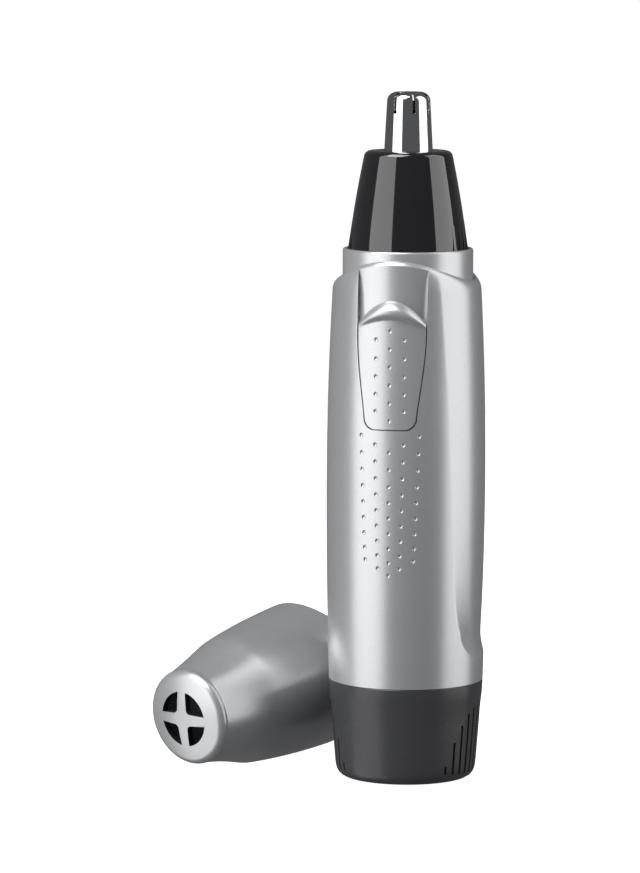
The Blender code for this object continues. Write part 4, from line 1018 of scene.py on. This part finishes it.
class TRIMMER_OT_insides(bpy.types.Operator):
    """Give every inner piece its own finish"""
    bl_idname = "trimmer.insides"
    bl_label = "Inner pieces"

    def execute(self, context):
        zinc = metal("zinc", (0.58, 0.59, 0.60), 0.26)
        spring_steel = metal("spring_steel", (0.62, 0.62, 0.63), 0.20, (6.0, 6.0, 1.0))
        brass = metal("brass", (0.72, 0.50, 0.20), 0.24)
        looks = (
            (cell_sleeve(), ["battery_cell"]),
            (moulded("nylon", (0.72, 0.70, 0.64), 0.42), ["chassis", "motor_end_bell"]),
            (zinc, ["chassis_screw_left", "chassis_screw_right"]),
            (zinc, ["motor_can", "negative_strip", "base_contact"]),
            (spring_steel, ["battery_spring", "cutter_spring", "motor_shaft", "cutter_shaft"]),
            (metal("core_steel", (0.40, 0.40, 0.41), 0.36, (1.0, 1.0, 20.0)), ["armature_core"]),
            (metal("blade_steel", (0.70, 0.70, 0.71), 0.14, (12.0, 12.0, 1.0)), ["cutter_blade"]),
            (brass, ["positive_contact", "motor_contact", "moving_contact", "motor_bush"]),
            (metal("copper", (0.72, 0.33, 0.17), 0.22), ["commutator"]),
            (moulded("carbon", (0.05, 0.045, 0.045), 0.5, 2400.0), ["brush_left", "brush_right"]),
            (winding(), ["armature_coil_1", "armature_coil_2", "armature_coil_3"]),
            (moulded("ferrite", (0.06, 0.06, 0.065), 0.6, 2000.0, 0.3), ["magnet_left", "magnet_right"]),
            (moulded("rubber", (0.02, 0.02, 0.02), 0.62, 1500.0, 0.2), ["hair_seal", "base_seal"]),
            (bare_plastic(), ["drive_coupling", "head_plug", "switch_carrier"]),
        )
        for material, nodes in looks:
            for node in nodes:
                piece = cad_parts[node]
                for slot in piece.material_slots:
                    slot.material = material
                if not piece.material_slots:
                    piece.data.materials.append(material)
        return {"FINISHED"}


# ---- the stage -----------------------------------------------------------------------------------
CAMERA_TURN, CAMERA_TILT, CAMERA_ROLL = math.radians(14.0), math.radians(6.798), math.radians(0.165)
CAMERA_PLACE = (-0.01679, -0.8586, 0.1683)      # across, in front and above, before the turn
CAMERA_LENS = 184.8
# name, turn from the camera, distance, height, width, tall, watts, how far above itself it aims
SOFTBOXES = (
    ("left_softbox", -58.0, 0.50, 0.38, 0.46, 1.00, 2.45, 0.0),
    ("right_softbox", 80.0, 0.50, 0.38, 0.46, 1.00, 2.2, 0.0),
    ("low_softbox", -70.0, 0.45, -0.28, 0.50, 0.30, 0.5, 0.30),
    ("top_softbox", -45.0, 0.40, 0.75, 0.50, 0.50, 4.0, -0.72),
)


def softbox(name, turn, distance, height, width, tall, watts, aim_above):
    """A soft area light on a circle round the trimmer, aimed at its axis."""
    angle = math.radians(turn) + CAMERA_TURN
    place = Vector((distance * math.sin(angle), -distance * math.cos(angle), height))
    light = bpy.data.lights.new(name, "AREA")
    light.shape = "RECTANGLE"
    light.size = width
    light.size_y = tall
    light.energy = watts
    lamp = bpy.data.objects.new(name, light)
    bpy.context.scene.collection.objects.link(lamp)
    aim = Vector((0.0, 0.0, height + aim_above)) - place
    lamp.location = place
    lamp.rotation_euler = aim.to_track_quat("-Z", "Y").to_euler()


def floor_material():
    """Pale paper, lit bright; mirrored and bounced light passes through it to the studio."""
    finish = Finish("pale_floor")
    grain = finish.noise(40.0, 3.0)
    finish.set(base_color=finish.mix(grain, (0.90, 0.90, 0.90), (0.93, 0.93, 0.93)))
    finish.set(roughness=0.75 + 0.1 * grain)
    finish.set(emission_color=(1.0, 1.0, 1.0), emission_strength=1.0)
    clear = finish.node("ShaderNodeBsdfTransparent", {}, {"Color": (1.0, 1.0, 1.0)})
    seen = finish.node("ShaderNodeLightPath", output="Is Camera Ray")
    paper = Value(finish, finish.shader.outputs[0])
    both = finish.node("ShaderNodeMixShader", {}, (seen, clear, paper))
    finish.tree.links.new(both.socket, finish.tree.nodes["Material Output"].inputs["Surface"])
    return finish.material


class TRIMMER_OT_stage(bpy.types.Operator):
    """Add the pale floor, the soft lights, the backdrop light and the camera"""
    bl_idname = "trimmer.stage"
    bl_label = "Stage"

    def execute(self, context):
        scene = context.scene
        select_only()
        bpy.ops.mesh.primitive_circle_add(vertices=96, radius=0.62, fill_type="NGON")
        floor = named("floor")
        floor.location.z = -0.0004
        floor.data.materials.append(floor_material())
        for settings in SOFTBOXES:
            softbox(*settings)
        self.backdrop(scene)
        self.camera(scene)
        scene.view_settings.view_transform = "Standard"
        return {"FINISHED"}

    def backdrop(self, scene):
        world = bpy.data.worlds.new("studio")
        scene.world = world
        world.use_nodes = True
        tree = world.node_tree
        ground = tree.nodes["Background"]
        ground.inputs["Color"].default_value = (0.09, 0.09, 0.092, 1.0)
        paper = tree.nodes.new("ShaderNodeBackground")
        paper.inputs["Color"].default_value = (1.0, 1.0, 1.0, 1.0)
        paper.inputs["Strength"].default_value = 1.05
        rays = tree.nodes.new("ShaderNodeLightPath")
        mix = tree.nodes.new("ShaderNodeMixShader")
        tree.links.new(rays.outputs["Is Camera Ray"], mix.inputs[0])
        tree.links.new(ground.outputs[0], mix.inputs[1])
        tree.links.new(paper.outputs[0], mix.inputs[2])
        tree.links.new(mix.outputs[0], tree.nodes["World Output"].inputs["Surface"])

    def camera(self, scene):
        view = bpy.data.cameras.new("camera")
        view.lens = CAMERA_LENS
        view.sensor_width = 36.0
        view.sensor_fit = "AUTO"
        view.clip_start = 0.01
        camera = bpy.data.objects.new("camera", view)
        scene.collection.objects.link(camera)
        aim = Matrix.Rotation(0.5 * math.pi - CAMERA_TILT, 4, "X") @ Matrix.Rotation(CAMERA_ROLL, 4, "Z")
        turn = Matrix.Rotation(CAMERA_TURN, 4, "Z")
        camera.matrix_world = turn @ Matrix.Translation(CAMERA_PLACE) @ aim
        scene.camera = camera


class TRIMMER_PT_pieces(bpy.types.Panel):
    """Lists the trimmer's pieces in the sidebar"""
    bl_label = "Nose Hair Trimmer"
    bl_space_type = "VIEW_3D"
    bl_region_type = "UI"
    bl_category = "Trimmer"

    def draw(self, context):
        for piece in OPERATORS:
            self.layout.operator(piece.bl_idname)


OPERATORS = (
    TRIMMER_OT_housing,
    TRIMMER_OT_collar,
    TRIMMER_OT_switch,
    TRIMMER_OT_head,
    TRIMMER_OT_base,
    TRIMMER_OT_cap,
    TRIMMER_OT_insides,
    TRIMMER_OT_stage,
)
GROUPS = {
    "trimmer_housing": HousingSizes,
    "trimmer_switch": SwitchSizes,
    "trimmer_head": HeadSizes,
    "trimmer_base": BaseSizes,
    "trimmer_cap": CapSizes,
    "trimmer_finishes": Finishes,
}


def register():
    for group in GROUPS.values():
        bpy.utils.register_class(group)
    for name, group in GROUPS.items():
        setattr(bpy.types.Scene, name, PointerProperty(type=group))
    for piece in OPERATORS + (TRIMMER_PT_pieces,):
        bpy.utils.register_class(piece)


def unregister():
    for piece in reversed(OPERATORS + (TRIMMER_PT_pieces,)):
        bpy.utils.unregister_class(piece)
    for name, group in GROUPS.items():
        delattr(bpy.types.Scene, name)
        bpy.utils.unregister_class(group)


def main():
    register()
    bpy.ops.trimmer.housing()
    bpy.ops.trimmer.collar()
    bpy.ops.trimmer.switch()
    bpy.ops.trimmer.head()
    bpy.ops.trimmer.base()
    bpy.ops.trimmer.cap()
    bpy.ops.trimmer.insides()
    bpy.ops.trimmer.stage()


if __name__ == "__main__":
    main()
